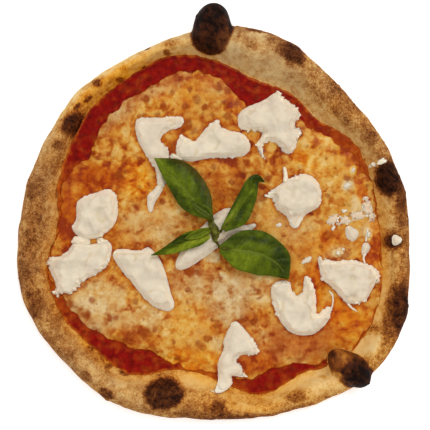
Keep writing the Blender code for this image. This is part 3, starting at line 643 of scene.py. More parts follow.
# Zones of the layer: x, y, half length, half width, turn, tone, softness. The tone runs from 0,
# thin and red with tomato, through orange and golden to 1, thick and cream.
CHEESE_TONE = 0.52
TONE_ZONES = (
    (-76, 84, 24, 11, 50, .54, .5), (-46, 100, 26, 10, 22, .48, .5), (-78, 62, 17, 13, 60, .52, .5),
    (-92, 29, 27, 10, 0, .20, .5), (-62, 26, 12, 14, 0, .50, .5), (-119, -4, 8, 30, 0, .10, .4),
    (-62, -9, 14, 15, 0, .58, .6), (-40, -10, 15, 15, 0, .70, .5), (1, 98, 19, 10, 0, .56, .5),
    (18, 93, 9, 15, 0, .28, .6), (-27, 92, 18, 10, 10, .62, .5), (-26, 78, 14, 8, 0, .46, .6),
    (7, 27, 23, 17, 0, .34, .5), (42, 36, 13, 11, 0, .36, .6), (91, 42, 22, 24, 60, .66, .5),
    (115, 7, 13, 16, 0, .68, .5), (39, 0, 12, 13, 0, .64, .5), (57, -18, 18, 11, 0, .64, .5),
    (82, -25, 21, 12, 0, .56, .5), (93, -20, 7, 7, 0, .28, .5), (76, -45, 8, 13, 0, .42, .5),
    (127, -30, 7, 16, 0, .14, .5), (105, -90, 18, 17, 0, .42, .4), (63, -104, 33, 16, 8, .32, .5),
    (34, -121, 16, 9, 0, .18, .5), (12, -70, 17, 17, 0, .68, .5), (38, -62, 14, 12, 0, .70, .5),
    (-20, -55, 17, 11, 0, .44, .5), (-22, -90, 19, 16, 0, .70, .5), (-56, -86, 21, 9, 15, .78, .5),
    (-95, -74, 22, 19, -35, .80, .4), (-66, -99, 14, 7, 0, .28, .5), (-22, -121, 19, 11, 0, .60, .5),
    (-108, -86, 9, 16, 40, .48, .5), (33, -88, 11, 10, 0, .36, .5), (81, -58, 7, 15, 0, .42, .5),
    (110, 46, 6, 13, 25, .16, .4), (107, 22, 5, 3.6, 40, 1.0, .4), (112, 34, 4, 2.6, 60, 1.0, .4),
    (99.5, -33, 5, 3.6, 30, 1.1, .4), (124, -17.5, 6, 3.2, 95, 1.1, .4), (116, 8, 4, 6, 0, .85, .5),
    (-103, 15, 10, 7, 0, .18, .5), (119, 17, 4, 10, 10, .24, .5), (4, -107, 9, 7, 0, .82, .5),
    (-3, -77, 8, 7, 0, .34, .5), (-42, -94, 7, 5, 0, .80, .5), (-2, -36, 6, 5, 0, 1.0, .5),
    (43, 51, 7, 5, 0, .34, .5), (70, 45, 10, 5, -30, .36, .5), (-70, 82, 9, 6, 40, .44, .5),
    (-28, 109, 11, 4, 15, .24, .5), (-50, 80, 9, 5, 20, .74, .5), (-73, 42, 9, 6, 0, .68, .5),
    (-31, -121, 9, 5, 10, .64, .5), (92, -4, 6, 4, 0, .80, .5), (69, -45, 4, 10, 0, .62, .5),
    (-77, 73, 9, 6, 30, .36, .5), (9, -97, 3, 9, 0, .72, .5),
)
# Zones where the cheese is milky and a little pink, rather than golden
MILKY_ZONES = (
    (-76, 86, 26, 10, 50, .60, .5), (-48, 102, 28, 9, 22, .70, .5), (-62, -9, 15, 16, 0, .40, .6),
    (12, -70, 20, 20, 0, 1.0, .5), (-20, -56, 18, 14, 0, .80, .5), (60, -104, 34, 18, 8, .62, .6),
    (-106, -84, 10, 20, 40, .85, .5), (108, 22, 6, 5, 40, .90, .5), (118, 6, 8, 11, 0, .70, .5),
    (99, -33, 8, 6, 0, .90, .5), (4, -107, 9, 7, 0, .60, .5), (-2, -36, 7, 6, 0, .90, .5),
    (66, -10, 16, 14, 0, .40, .6), (6, 101, 16, 6, 0, .40, .5),
    (-92, -72, 24, 20, -35, .65, .5), (-56, -86, 20, 10, 15, .55, .5), (-42, -12, 18, 16, 0, .45, .6),
    (40, -62, 14, 12, 0, .60, .6), (124, -17, 8, 6, 95, .90, .5),
)
# Zones where oil has turned the cheese a clear amber
AMBER_ZONES = (
    (105, -90, 20, 19, 0, 1.0, .5), (81, -58, 8, 16, 0, .80, .5), (-62, 26, 12, 15, 0, .90, .5),
    (-92, 29, 25, 10, 0, .60, .5), (-119, -4, 9, 30, 0, .60, .5), (-22, -121, 22, 11, 0, .90, .5),
    (63, -104, 34, 18, 8, .30, .6), (34, -121, 16, 9, 0, .60, .5), (-30, 96, 30, 12, 5, .35, .6),
    (-22, -88, 20, 16, 0, .30, .6), (92, 44, 20, 20, 50, .35, .6),
    (127, -30, 9, 20, 0, .70, .5), (112, 52, 8, 14, 25, .80, .5), (18, 93, 10, 16, 0, .40, .6),
    (88, -25, 12, 10, 0, .60, .6), (96, 60, 14, 8, -40, .50, .6), (5, 0, 12, 12, 0, .60, .6),
    (72, 43, 12, 6, -30, .80, .6), (119, 17, 5, 10, 10, .80, .5), (-103, 15, 10, 7, 0, .40, .5),
)
# Pieces of stracchino that lie on the layer, which has painted shade beside them: name, how
# lumpy the back is, how ragged the edge is, and how far it has melted
STRACCHINO_PIECES = (
    ("upper_left_streak", 0.30, 0.5, 0.1), ("upper_bar", 0.35, 0.4, 0.0),
    ("upper_right_dollop", 0.80, 1.0, 0.0), ("right_dollop", 1.0, 0.8, 0.0),
    ("right_smear", 0.9, 1.1, 0.8), ("lower_right_dollop", 0.45, 0.85, 0.1),
    ("claw_dollop", 0.60, 0.8, 0.0), ("bottom_shred", 0.50, 0.7, 0.0), ("left_dollop", 0.30, 0.5, 0.0),
    ("left_torn_piece", 0.60, 0.85, 0.0), ("left_long_piece", 0.12, 0.15, 0.0),
    ("centre_piece", 0.10, 0.3, 0.1), ("right_square_bit", 0.25, 0.4, 0.2),
    ("right_thin_bit", 0.25, 0.4, 0.2), ("right_tailed_bit", 0.30, 0.5, 0.4),
    ("rim_crumb", 0.30, 0.3, 0.2),
)
# Browned spots: x, y, radius
BROWN_SPOTS = (
    (-78, 30, 3.6), (-72.5, 33, 2.8), (-81.6, 56.7, 3.4), (-55, 92, 4.2), (-24, 86, 3.6), (-14, 91, 4),
    (-41, 86, 2.8), (-21, 71, 5.6), (-17, 66.5, 4), (-32.5, 52, 5), (10.5, 78, 4), (-1.5, 78, 2.4),
    (3.2, 101.3, 3.6), (11.5, 98.6, 3.8), (-0.6, 36.3, 3), (43.2, 27, 3.8), (39.4, 11.2, 4.2),
    (6, 13, 4.2), (-42.5, 8.3, 3.6), (-22.8, -1.9, 2.2), (-51.7, -25.1, 3.8), (34.8, -63.5, 3),
    (4.9, -53.5, 2.4), (22.6, -86.8, 4), (32.6, -88, 4), (1.5, -91.3, 3), (92.6, -18, 4),
    (56, -19.1, 2.6), (-99.3, -71.3, 3), (-63.8, -72.4, 3), (-84.3, -85.7, 3.6), (-79.2, -85.6, 3.4),
    (-96, -96.9, 4.6), (-102.6, -83.4, 4.6), (-116, -74.5, 4.4), (-67.1, -98, 3.8), (-56.1, -98, 4.6),
    (-48.2, -95.2, 2.8), (-34, 97, 2.8), (-8, 85, 3), (18, 88, 3.4), (-46, 79, 2.8), (8, 88, 2.6),
    (-20, 99, 2.6), (-60, 77, 3), (26, 40, 3.2), (14, 24, 3), (32, 16, 2.6), (58, 66, 2.8),
    (-6, -102.4, 3.8), (-11.6, -106.8, 3.6), (-19.4, -47.8, 4.6), (-13.8, -49, 3.6),
    (-2.8, -53.5, 3.4), (-112.7, -62.4, 2.6), (107, 27.3, 3.2), (114.8, 46, 6), (-86, 3, 3),
    (60, -68, 2.6), (86, -28, 2.6), (-30, -118, 2.8), (-66, -112, 3), (54, -110, 3), (-94, 44, 2.6),
)


def swayed(finish, value, noise, strength):
    """A value moved up and down by noise that lies between 0 and 1."""
    return maths(finish, "MULTIPLY_ADD", maths(finish, "SUBTRACT", noise, 0.5), strength, value)


def cheese_finish():
    """Melted cheese, golden, milky or amber, from thin and red to thick and cream, browned in spots."""
    finish = new_finish("melted cheese", IOR=1.45, Specular_IOR_Level=0.12, Subsurface_Weight=0.06,
                        Subsurface_Scale=0.0015)
    fine = mottle(finish, 1.7, 6, 3.0, 0.6)
    tone = swayed(finish, attribute(finish, "tone"), fine, 0.42)
    golden = shades(finish, tone, (0.0, 126, 40, 5), (0.15, 154, 64, 8), (0.3, 174, 90, 16),
                    (0.45, 190, 116, 34), (0.6, 203, 142, 54), (0.8, 211, 164, 82),
                    (1.0, 220, 184, 118))
    milky = shades(finish, tone, (0.0, 138, 58, 16), (0.2, 164, 94, 42), (0.4, 181, 128, 72),
                   (0.6, 191, 151, 98), (0.8, 202, 169, 118), (1.0, 214, 187, 143))
    amber = shades(finish, tone, (0.0, 150, 48, 3), (0.2, 180, 78, 4), (0.4, 198, 104, 9),
                   (0.6, 210, 130, 20), (0.8, 218, 156, 46), (1.0, 228, 188, 98))
    colour = blend(finish, attribute(finish, "milky"), golden, milky)
    colour = blend(finish, attribute(finish, "amber"), colour, amber)
    browned = shades(finish, fine, (0.3, 120, 42, 3), (0.6, 158, 72, 8))
    colour = blend(finish, attribute(finish, "brown"), colour, browned)
    flecks = spread(finish, mottle(finish, 2.6, 26, 2.0), 0.60, 0.70, 0.0, 0.45)
    colour = blend(finish, flecks, colour, shown(138, 58, 10))
    oiled = spread(finish, attribute(finish, "amber"), 0.0, 1.0, 0.0, 0.12)
    satin = spread(finish, mottle(finish, 5, 7), 0.35, 0.65, 0.28, 0.5)
    roughness = maths(finish, "SUBTRACT", satin, oiled)
    set_finish(finish, colour, roughness, fine, 0.4, 0.6)
    return finish


def warped(points, reach, size, seed):
    """Points moved about by soft noise, so that what is drawn from them runs in swirls."""
    return points + reach * np.stack([grain(points, size, seed + side) for side in range(3)], axis=1)


def painted_shade_near_pieces(points, reach):
    """1 at the whole pieces of stracchino, falling to 0 at a distance in plan: where shade is painted
    on the cheese round them.
    """
    solids = [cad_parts["stracchino_" + name].data for name, _, _, melted in STRACCHINO_PIECES
              if melted < 0.2]
    corners = []
    faces = []
    for mesh in solids:
        faces += [[corner + len(corners) for corner in face.vertices] for face in mesh.polygons]
        corners += [(vertex.co.x / MM, vertex.co.y / MM, 0.1 * vertex.co.z / MM)
                    for vertex in mesh.vertices]
    tree = BVHTree.FromPolygons(corners, faces)
    nearness = np.zeros(len(points))
    for index, (x, y) in enumerate(points[:, :2].tolist()):
        distance = tree.find_nearest((x, y, 1.0), reach)[3]
        if distance is not None:
            nearness[index] = 1 - distance / reach
    return nearness


def four_around(grid):
    """The sum of each value's four neighbours in a grid, with its edge repeated past the edge."""
    padded = np.pad(grid, 1, mode="edge")
    return padded[:-2, 1:-1] + padded[2:, 1:-1] + padded[1:-1, :-2] + padded[1:-1, 2:]


def grid_faces(rows, columns):
    """Quads of a grid of points, counter-clockwise as seen from above."""
    corner = (np.arange(rows - 1)[:, None] * columns + np.arange(columns - 1)).reshape(-1)
    return np.stack((corner, corner + 1, corner + columns + 1, corner + columns), axis=1)


def grid_border(rows, columns):
    """The numbers of a grid's outer points, once round."""
    border = list(range(columns))
    border += [row * columns + columns - 1 for row in range(1, rows)]
    border += [(rows - 1) * columns + column for column in range(columns - 2, -1, -1)]
    border += [row * columns for row in range(rows - 2, 0, -1)]
    return border


def make_cheese():
    """The layer's top as a fine grid wrapped into the round, closed by a flat underside."""
    solid = solid_tree("melted_cheese")
    ticks = np.linspace(-1, 1, CHEESE_CELLS + 1)
    across, up = (side.reshape(-1) for side in np.meshgrid(ticks, ticks))
    wide = np.abs(across) >= np.abs(up)
    longer = np.where(wide, across, up)
    longer = np.where(longer == 0, 1e-9, longer)
    swing = math.pi / 4 * np.where(wide, up, across) / longer
    angle = np.where(wide, swing, math.pi / 2 - swing)
    angle = np.where(longer < 0, angle + math.pi, angle) % math.tau
    share = np.abs(longer)

    knots = even_angles(CHEESE_KNOTS)
    level = Vector((*DOUGH_CENTRE, CHEESE_FLOOR + 0.05))
    reach = np.array([solid.ray_cast(level, Vector((math.cos(knot), math.sin(knot), 0)))[3]
                      for knot in knots]) + 0.3
    ring = circle(knots, CHEESE_EDGE)
    reach += by_angle(CHEESE_SPREAD, knots) + 3.8 * rough(ring, 14, 30, 2) + 1.3 * rough(ring, 6.0, 31)
    edge = by_angle(reach, angle)
    radius = share * edge
    points = round_points(radius, angle, np.zeros(len(radius)))
    side = CHEESE_CELLS + 1
    height = heights_on(solid, points, CHEESE_FLOOR).reshape(side, side)
    for _ in range(4):
        height = (four_around(height) + 2 * height) / 6
    height = np.maximum(height.reshape(-1), CHEESE_FLOOR)

    swirled = warped(points, 1.6, 6, 38)
    strands = rough(swirled, 12.0, 32, 2)
    curds = rough(swirled, 5.0, 33, 3)
    from_edge = edge - radius
    tone = paint(np.full(len(points), CHEESE_TONE), points, TONE_ZONES, 100)
    milky = paint(np.zeros(len(points)), points, MILKY_ZONES, 150) + 0.25 * rough(points, 12, 34)
    amber = paint(np.zeros(len(points)), points, AMBER_ZONES, 250) + 0.25 * rough(points, 10, 35)
    browner = eased_step(0.12, 0.5, rough(warped(points, 2.0, 5, 42), 8.5, 45, 3))
    lively = 0.85 + 0.6 * grain(points, 34, 47)
    mottled = lively * (0.34 * strands + 0.32 * curds - 0.32 * browner + 0.06)
    tone = tone + mottled * (1 - 0.3 * eased_step(0.6, 1.0, tone))
    # Painted shade: the cheese is made darker within 4.5 mm of each whole piece of stracchino.
    tone -= 0.26 * painted_shade_near_pieces(points, 4.5) ** 1.5
    soaked = 1 - eased_step(-0.8, 1.6, from_edge + 0.8 * curds)
    tone *= 1 - soaked * (1 - 0.8 * np.clip(milky, 0, 1))
    tone = np.clip(tone, 0, 1)
    brown = np.zeros(len(points))
    for number, (x, y, size) in enumerate(BROWN_SPOTS):
        distance = np.hypot(points[:, 0] - x, points[:, 1] - y) / size
        near = np.flatnonzero(distance < 2)
        ragged = distance[near] + 0.5 * rough(points[near], 1.3 * size, 170 + number, 2)
        depth = 0.95 - 0.3 * (number % 3) / 2
        brown[near] = np.maximum(brown[near], depth * (1 - eased_step(0.45, 1.2, ragged)))
    brown = np.maximum(brown, 0.7 * eased_step(0.42, 0.85, rough(points, 6, 36, 2)))

    relief = 0.35 * strands + 0.22 * curds + 0.5 * rough(points, 16, 37, 2) + 0.35 * brown
    rise = eased_step(-0.8, 6.0, from_edge)
    thickness = np.maximum(height - CHEESE_FLOOR, 0.6 * eased_step(0, 2.0, from_edge))
    points[:, 2] = CHEESE_FLOOR + np.maximum(0.15, (thickness + relief) * rise)
    points[share >= 1, 2] = CHEESE_FLOOR - 0.25

    faces = grid_faces(side, side).tolist() + [grid_border(side, side)[::-1]]
    cheese = make_piece("melted_cheese_layer", points, faces, cheese_finish(), tone=tone,
                        milky=np.clip(milky, 0, 1), amber=np.clip(amber, 0, 1), brown=brown)
    return cheese, points, faces


cheese, cheese_points, cheese_faces = make_cheese()
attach(cheese, "root")
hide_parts("melted_cheese")
scatter("cheese_curds", cheese, cheese.data.materials[0], "melted_cheese", Density=11000.0,
        Radius=1.6 * MM, Flatness=0.3, Unevenness=1.0 * MM, Seed=8, Field="tone", Least=0.35)


# ------------------------------------------------------------------------- Pieces of stracchino
# Soft fresh cheese, torn by hand and dropped on the hot pizza: moist white lumps with rounded
# backs, folds and creases, and ragged edges where they were pulled apart.
SMALL_PIECES = ("right_square_bit", "right_thin_bit", "right_tailed_bit", "rim_crumb")
# Where a piece is drawn out thin: x, y, half length, half width, turn, share of height, softness
THIN_PARTS = (
    (66, -9, 8, 7, 0, .40, .4), (45, 12, 5, 5, 0, .35, .5), (-30, 73, 8, 5, 0, .65, .5),
    (-50, 8, 12, 7, 70, .70, .5), (86, -41, 7, 5, -40, .60, .5), (130, -53, 5, 9, 10, .55, .5),
    (-130, -50, 6, 16, 10, .65, .5), (2, -140, 9, 6, 30, .60, .5), (24, -132, 6, 4, -30, .50, .5),
    (22, -119, 7, 4, -10, .60, .5), (37, -112, 5, 5, 0, .60, .5), (38, 46, 6, 6, 60, .60, .5),
    (22, 72, 7, 7, 40, .70, .5), (-36, -78, 6, 5, 0, .65, .5), (30, -12, 8, 4, -10, .60, .5),
    (88, -82, 7, 7, 40, .75, .5), (110, -72, 7, 5, 0, .65, .5),
)
# Where a torn edge is smooth all the same: x, y, half length, half width, turn, raggedness, softness
SMOOTH_EDGES = (
    (33, 86, 22, 8, 38, .05, .3), (76, -98, 18, 7, 0, .10, .3), (24, -92, 12, 8, -50, .15, .3),
    (-100, -24, 14, 6, 0, .10, .3), (95, -70, 14, 8, -50, .35, .3),
    (6, -112, 27, 7, 74, .10, .3), (5, -140, 12, 7, 0, .10, .3), (107, -39, 26, 6, -4, .40, .3),
    (-112, -34, 22, 5, 12, .30, .4), (-98, -58, 16, 6, 38, .45, .4), (56, 58, 6, 20, 0, .60, .4),
)
STRACCHINO_SINK = 0.7           # how far a piece has settled into the melted cheese
STRACCHINO_CELL = 0.6           # size of the cells in which a piece is remeshed
SMALL_CELL = 0.45               # the same for a small piece
THREAD_STEPS = 26               # rings along each thread
# Threads that were pulled off with the pieces: radius at each end, then the places along them
THREADS = (
    (2.2, 1.3, ((57.4, 24), (57.4, 30), (56.4, 36.5))),
    (0.8, 0.5, ((92.6, -63.5), (95.4, -67.5), (95.6, -74), (93.4, -81))),
    (1.1, 0.5, ((107.5, -73.5), (111, -77.5), (115.5, -80.5))),
    (1.3, 0.4, ((86, -43.5), (84.5, -40), (83.4, -36.5))),
    (1.3, 0.4, ((92, -43), (90.5, -39.5), (89, -37))),
    (1.0, 0.7, ((122.5, -33), (120.5, -37), (121.8, -42))),
    (0.6, 0.9, ((123.8, -13), (123.2, -18), (122.5, -24))),
    (1.2, 0.5, ((40.5, 13.5), (44, 12.5), (49, 11))),
    (0.8, 0.4, ((4.6, -140.5), (3.2, -143.2), (0.2, -144.0), (-3.2, -142.8))),
)
# Crumbs and the places where two pieces hang together: x, y, half length, half width, turn, height
CRUMBS = (
    (-31, 44, 5.5, 2.4, -15, 3.0), (-108, -23, 7.5, 5, 5, 4.4), (-90, -25.5, 5, 4.2, -40, 4.2),
    (128.5, 38.4, 2.6, 1.8, 0, 1.6), (133.5, 40.2, 4.0, 2.2, 20, 2.2), (126, 37, 1.4, 1.2, 0, 1.2),
    (99.8, -33, 2.0, 1.6, 20, 1.4), (104, -30, 1.2, 1.0, 0, 1.0), (112, 34, 2.2, 1.2, 60, 0.9),
    (107, 21.5, 3.0, 1.8, 40, 0.9), (124.5, -18, 1.6, 2.6, 0, 1.3), (52, -10.5, 2.6, 1.6, 10, 1.2),
    (125.5, 4, 2.0, 3.0, 10, 1.4), (96, -13, 2.2, 1.4, 60, 1.2), (105, 1, 2.4, 1.6, 20, 1.4),
    (85.5, -38.5, 2.4, 1.3, 100, 3), (132, -55.6, 2.2, 1.6, 60, 4), (-134, -41, 2.4, 2.0, 20, 4),
    (-127, -68, 2.2, 1.6, 70, 3), (24.5, -132, 2.4, 1.2, -40, 2.2),
)


def stracchino_finish():
    """Moist white cheese that lets a little light through, with painted light on its walls and painted
    shade in its creases.
    """
    finish = new_finish("stracchino", IOR=1.45, Specular_IOR_Level=0.22, Subsurface_Weight=0.5,
                        Subsurface_Scale=0.004, Subsurface_Radius=(1.0, 0.85, 0.7))
    fine = mottle(finish, 1.6, 7, 3.0)
    broad = mottle(finish, 8, 8, 3.0)
    colour = shades(finish, broad, (0.3, 211, 197, 176), (0.5, 221, 208, 185), (0.7, 228, 215, 190))
    # Creases take a darker, creamier colour: partly the cheese's own colour in its folds, partly
    # painted shade.
    colour = blend(finish, attribute(finish, "crease"), colour, shown(208, 188, 152))
    colour = blend(finish, attribute(finish, "melted"), colour, shown(222, 194, 164))
    # Painted light: the walls, where side is 1, are made lighter to stand against the shade they fall
    # in.
    colour = blend(finish, attribute(finish, "side"), colour, shown(250, 237, 212))
    roughness = spread(finish, fine, 0.3, 0.7, 0.40, 0.58)
    set_finish(finish, colour, roughness, fine, 0.3, 0.6)
    return finish


def even_mesh(node_name, cell):
    """Points, faces and edges of a CAD node's shape, remeshed in even cells."""
    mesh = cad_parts[node_name].data.copy()
    work = bmesh.new()
    work.from_mesh(mesh)
    bmesh.ops.remove_doubles(work, verts=work.verts, dist=1e-5)
    work.to_mesh(mesh)
    work.free()
    holder = placed("holder", mesh)
    remesh = holder.modifiers.new("even cells", "REMESH")
    remesh.mode = "VOXEL"
    remesh.voxel_size = cell * MM
    bpy.context.view_layer.update()
    even = bpy.data.meshes.new_from_object(holder.evaluated_get(bpy.context.evaluated_depsgraph_get()))
    points = np.empty(len(even.vertices) * 3)
    even.vertices.foreach_get("co", points)
    edges = np.empty(len(even.edges) * 2, dtype=np.int64)
    even.edges.foreach_get("vertices", edges)
    faces = [tuple(face.vertices) for face in even.polygons]
    bpy.data.objects.remove(holder)
    return points.reshape(-1, 3) / MM, faces, edges.reshape(-1, 2)


def smoothed(points, edges, passes):
    """Points drawn towards the middle of their neighbours, several times."""
    count = len(points)
    ends = np.concatenate((edges[:, 0], edges[:, 1]))
    others = np.concatenate((edges[:, 1], edges[:, 0]))
    number = np.maximum(np.bincount(ends, minlength=count), 1)
    for _ in range(passes):
        middles = np.stack([np.bincount(ends, weights=points[others, side], minlength=count)
                            for side in range(3)], axis=1) / number[:, None]
        points = 0.4 * points + 0.6 * middles
    return points


def point_normals(points, faces):
    """Outward directions at the points of any mesh of quads and triangles."""
    mesh = bpy.data.meshes.new("normals")
    mesh.from_pydata(points.tolist(), [], faces)
    normals = np.empty(len(points) * 3)
    mesh.vertex_normals.foreach_get("vector", normals)
    bpy.data.meshes.remove(mesh)
    return normals.reshape(-1, 3)


def make_stracchino(number, finish):
    """One torn piece: its solid with softened shoulders, a few folds and a ragged edge."""
    name, lumpy, ragged, melted = STRACCHINO_PIECES[number]
    small = name in SMALL_PIECES
    points, faces, edges = even_mesh("stracchino_" + name, SMALL_CELL if small else STRACCHINO_CELL)
    points = smoothed(points, edges, 2)
    bottom, top = np.percentile(points[:, 2], (1, 99))
    normals = point_normals(points, faces)
    level = np.clip((points[:, 2] - bottom) / (top - bottom), 0, 1)
    full = paint(np.full(len(points), 0.9), points, THIN_PARTS, 500)
    flat = points * (1, 1, 0)
    slumped = full * (0.86 + 0.16 * grain(flat, 20, 210 + number))
    softer = bottom + slumped * (top - bottom) * level ** 1.15
    points[:, 2] += (softer - points[:, 2]) * eased_step(-0.1, 0.3, normals[:, 2])
    upright = eased_step(0.1, 0.8, normals[:, 2])
    size = 0.4 if small or name == "right_smear" else 1.0
    swirled = warped(points, 4.0, 11, 200 + number)
    fold = np.abs(grain(swirled, 13, 220 + number))
    folded = eased_step(0.05, 0.35, grain(points, 12, 240 + number))
    crease = (1 - eased_step(0.0, 0.22, fold)) * folded
    back = (0.4 + 0.9 * lumpy) * grain(points, 13, 250 + number) - 0.5 * crease
    back += (lumpy * 0.6 * rough(points, 5.0, 290 + number, 2)
             + 0.08 * rough(points, 2.0, 295 + number, 2))
    torn = rough(points * (1, 1, 0.7), 2.8, 260 + number, 3)
    torn = 1.5 * (torn + 0.8 * np.maximum(0, torn))
    place = 0.2 + 0.35 * (ragged > 0.9) + 0.9 * eased_step(-0.2, 0.3, grain(flat, 16, 280 + number))
    place = paint(place, points, SMOOTH_EDGES, 520)
    push = 0.2 + size * back * upright + ragged * place * (1 - upright) * torn * (0.5 if small else 1.1)
    push -= (0.3 if small else 0.7) * level * (1 - upright) * eased_step(-0.4, 0, normals[:, 2])
    points = points + normals * push[:, None]
    points += (smoothed(points, edges, 2) - points) * upright[:, None]
    if melted > 0.5:
        holes = 3.0 * eased_step(0.14, 0.45, rough(flat, 5, 320 + number)) * upright
        points[:, 2] = np.maximum(points[:, 2] - holes, np.minimum(points[:, 2], bottom + 0.1))
    points[:, 2] -= STRACCHINO_SINK
    # crease darkens the colour in the folds: partly the cheese's creamier colour, partly painted shade.
    piece = make_piece("soft_" + name, points, faces, finish, crease=0.7 * crease * upright,
                       # side is 1 on the walls, which the finish paints lighter: painted light against
                       # their shade
                       side=1 - upright,
                       melted=np.clip(melted + 0.6 * (0.9 - full) + 0.2 * rough(points, 4, 300), 0, 1))
    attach(piece, "root")
    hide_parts("stracchino_" + name)
    return points, faces


def joined(parts):
    """Several meshes as one list of points and one of faces."""
    points = np.concatenate([part[0] for part in parts])
    faces = []
    start = 0
    for part_points, part_faces in parts:
        faces += [tuple(corner + start for corner in face) for face in part_faces]
        start += len(part_points)
    return points, faces


def tube(path, radii, sides=12):
    """A closed round tube of changing thickness along a path in space."""
    path = np.array(path)
    ahead = np.gradient(path, axis=0)
    ahead /= np.linalg.norm(ahead, axis=1)[:, None]
    across = np.cross(ahead, (0, 0, 1))
    across /= np.linalg.norm(across, axis=1)[:, None]
    up = np.cross(across, ahead)
    swing = even_angles(sides)
    ring = (across[:, None, :] * np.cos(swing)[None, :, None]
            + up[:, None, :] * np.sin(swing)[None, :, None])
    points = (path[:, None, :] + ring * np.array(radii)[:, None, None]).reshape(-1, 3)
    return points, [face[::-1] for face in ring_faces(len(path), sides)]


def soft_curve(places, steps):
    """Even points along a smooth curve through places, and its direction at each of them."""
    places = np.array(places, dtype=float)
    before = 2 * places[0] - places[1]
    after = 2 * places[-1] - places[-2]
    knots = np.concatenate(([before], places, [after]))
    marks = np.linspace(0, len(places) - 1, steps)
    index = np.minimum(marks.astype(int), len(places) - 2)
    part = (marks - index)[:, None]
    start, end = knots[index + 1], knots[index + 2]
    slope_in, slope_out = (end - knots[index]) / 2, (knots[index + 3] - start) / 2
    path = (start * (1 + 2 * part) * (1 - part) ** 2 + slope_in * part * (1 - part) ** 2
            + end * part ** 2 * (3 - 2 * part) + slope_out * part ** 2 * (part - 1))
    ahead = slope_in * (1 - part) + slope_out * part
    return path, ahead / np.linalg.norm(ahead, axis=1)[:, None]


def lump(middle, half_length, half_width, turn, height, seed, rings=14, sides=22):
    """A small uneven lump that sits on its middle, as points and faces."""
    turn = math.radians(turn)
    rise = np.linspace(-0.47 * math.pi, 0.47 * math.pi, rings)[:, None]
    swing = even_angles(sides)[None, :]
    unit = np.stack((np.cos(rise) * np.cos(swing), np.cos(rise) * np.sin(swing),
                     np.broadcast_to(np.sin(rise), (rings, sides))), axis=2).reshape(-1, 3)
    unit = unit * (1 + 0.45 * rough(unit, 0.8, seed, 3))[:, None]
    x, y = unit[:, 0] * half_length, unit[:, 1] * half_width
    points = np.stack((middle[0] + x * math.cos(turn) - y * math.sin(turn),
                       middle[1] + x * math.sin(turn) + y * math.cos(turn),
                       middle[2] + np.maximum(unit[:, 2], 0.25 * unit[:, 2]) * height), axis=1)
    return points, ring_faces(rings, sides)


def laid_path(tree, places, steps):
    """A smooth path through places in plan, laid on whatever is under it."""
    path = np.concatenate((soft_curve(places, steps)[0], np.zeros((steps, 1))), axis=1)
    path[:, 2] = heights_on(tree, path, CHEESE_FLOOR)
    return path


def unsettled(points, size, seed):
    """Points moved about a little, so that nothing stays quite round."""
    return points + 0.25 * np.stack([rough(points, size, seed + side, 2) for side in range(3)], axis=1)


def make_threads(tree, finish):
    """The loose threads and crumbs, each laid on whatever is under it."""
    parts = []
    share = np.linspace(0, 1, THREAD_STEPS)
    for number, (first, last, places) in enumerate(THREADS):
        radii = first + (last - first) * share
        radii = radii * np.sqrt(np.clip(np.minimum(share, 1 - share) * 12 + 0.03, 0, 1))
        path = laid_path(tree, places, THREAD_STEPS)
        path[:, 2] += 0.45 * radii
        points, faces = tube(path, radii)
        parts.append((unsettled(points, 2.2, 330 + 3 * number), faces))
    for number, (x, y, half_length, half_width, turn, height) in enumerate(CRUMBS):
        middle = np.array(((x, y, 0.0),))
        middle[:, 2] = heights_on(tree, middle, CHEESE_FLOOR)
        parts.append(lump(middle[0], half_length, half_width, turn, height, 360 + number))
    points, faces = joined(parts)
    few = len(points)
    # The threads and crumbs take 0.4 of the walls' painted light.
    threads = make_piece("stracchino_threads", points, faces, finish, crease=np.zeros(few),
                         side=np.full(few, 0.4), melted=np.full(few, 0.35))
    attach(threads, "root")


soft_white = stracchino_finish()
laid = [(cheese_points, cheese_faces), (dough_points, dough_faces)]
for number in range(len(STRACCHINO_PIECES)):
    laid.append(make_stracchino(number, soft_white))
make_threads(tree_over(*joined(laid[:2])), soft_white)


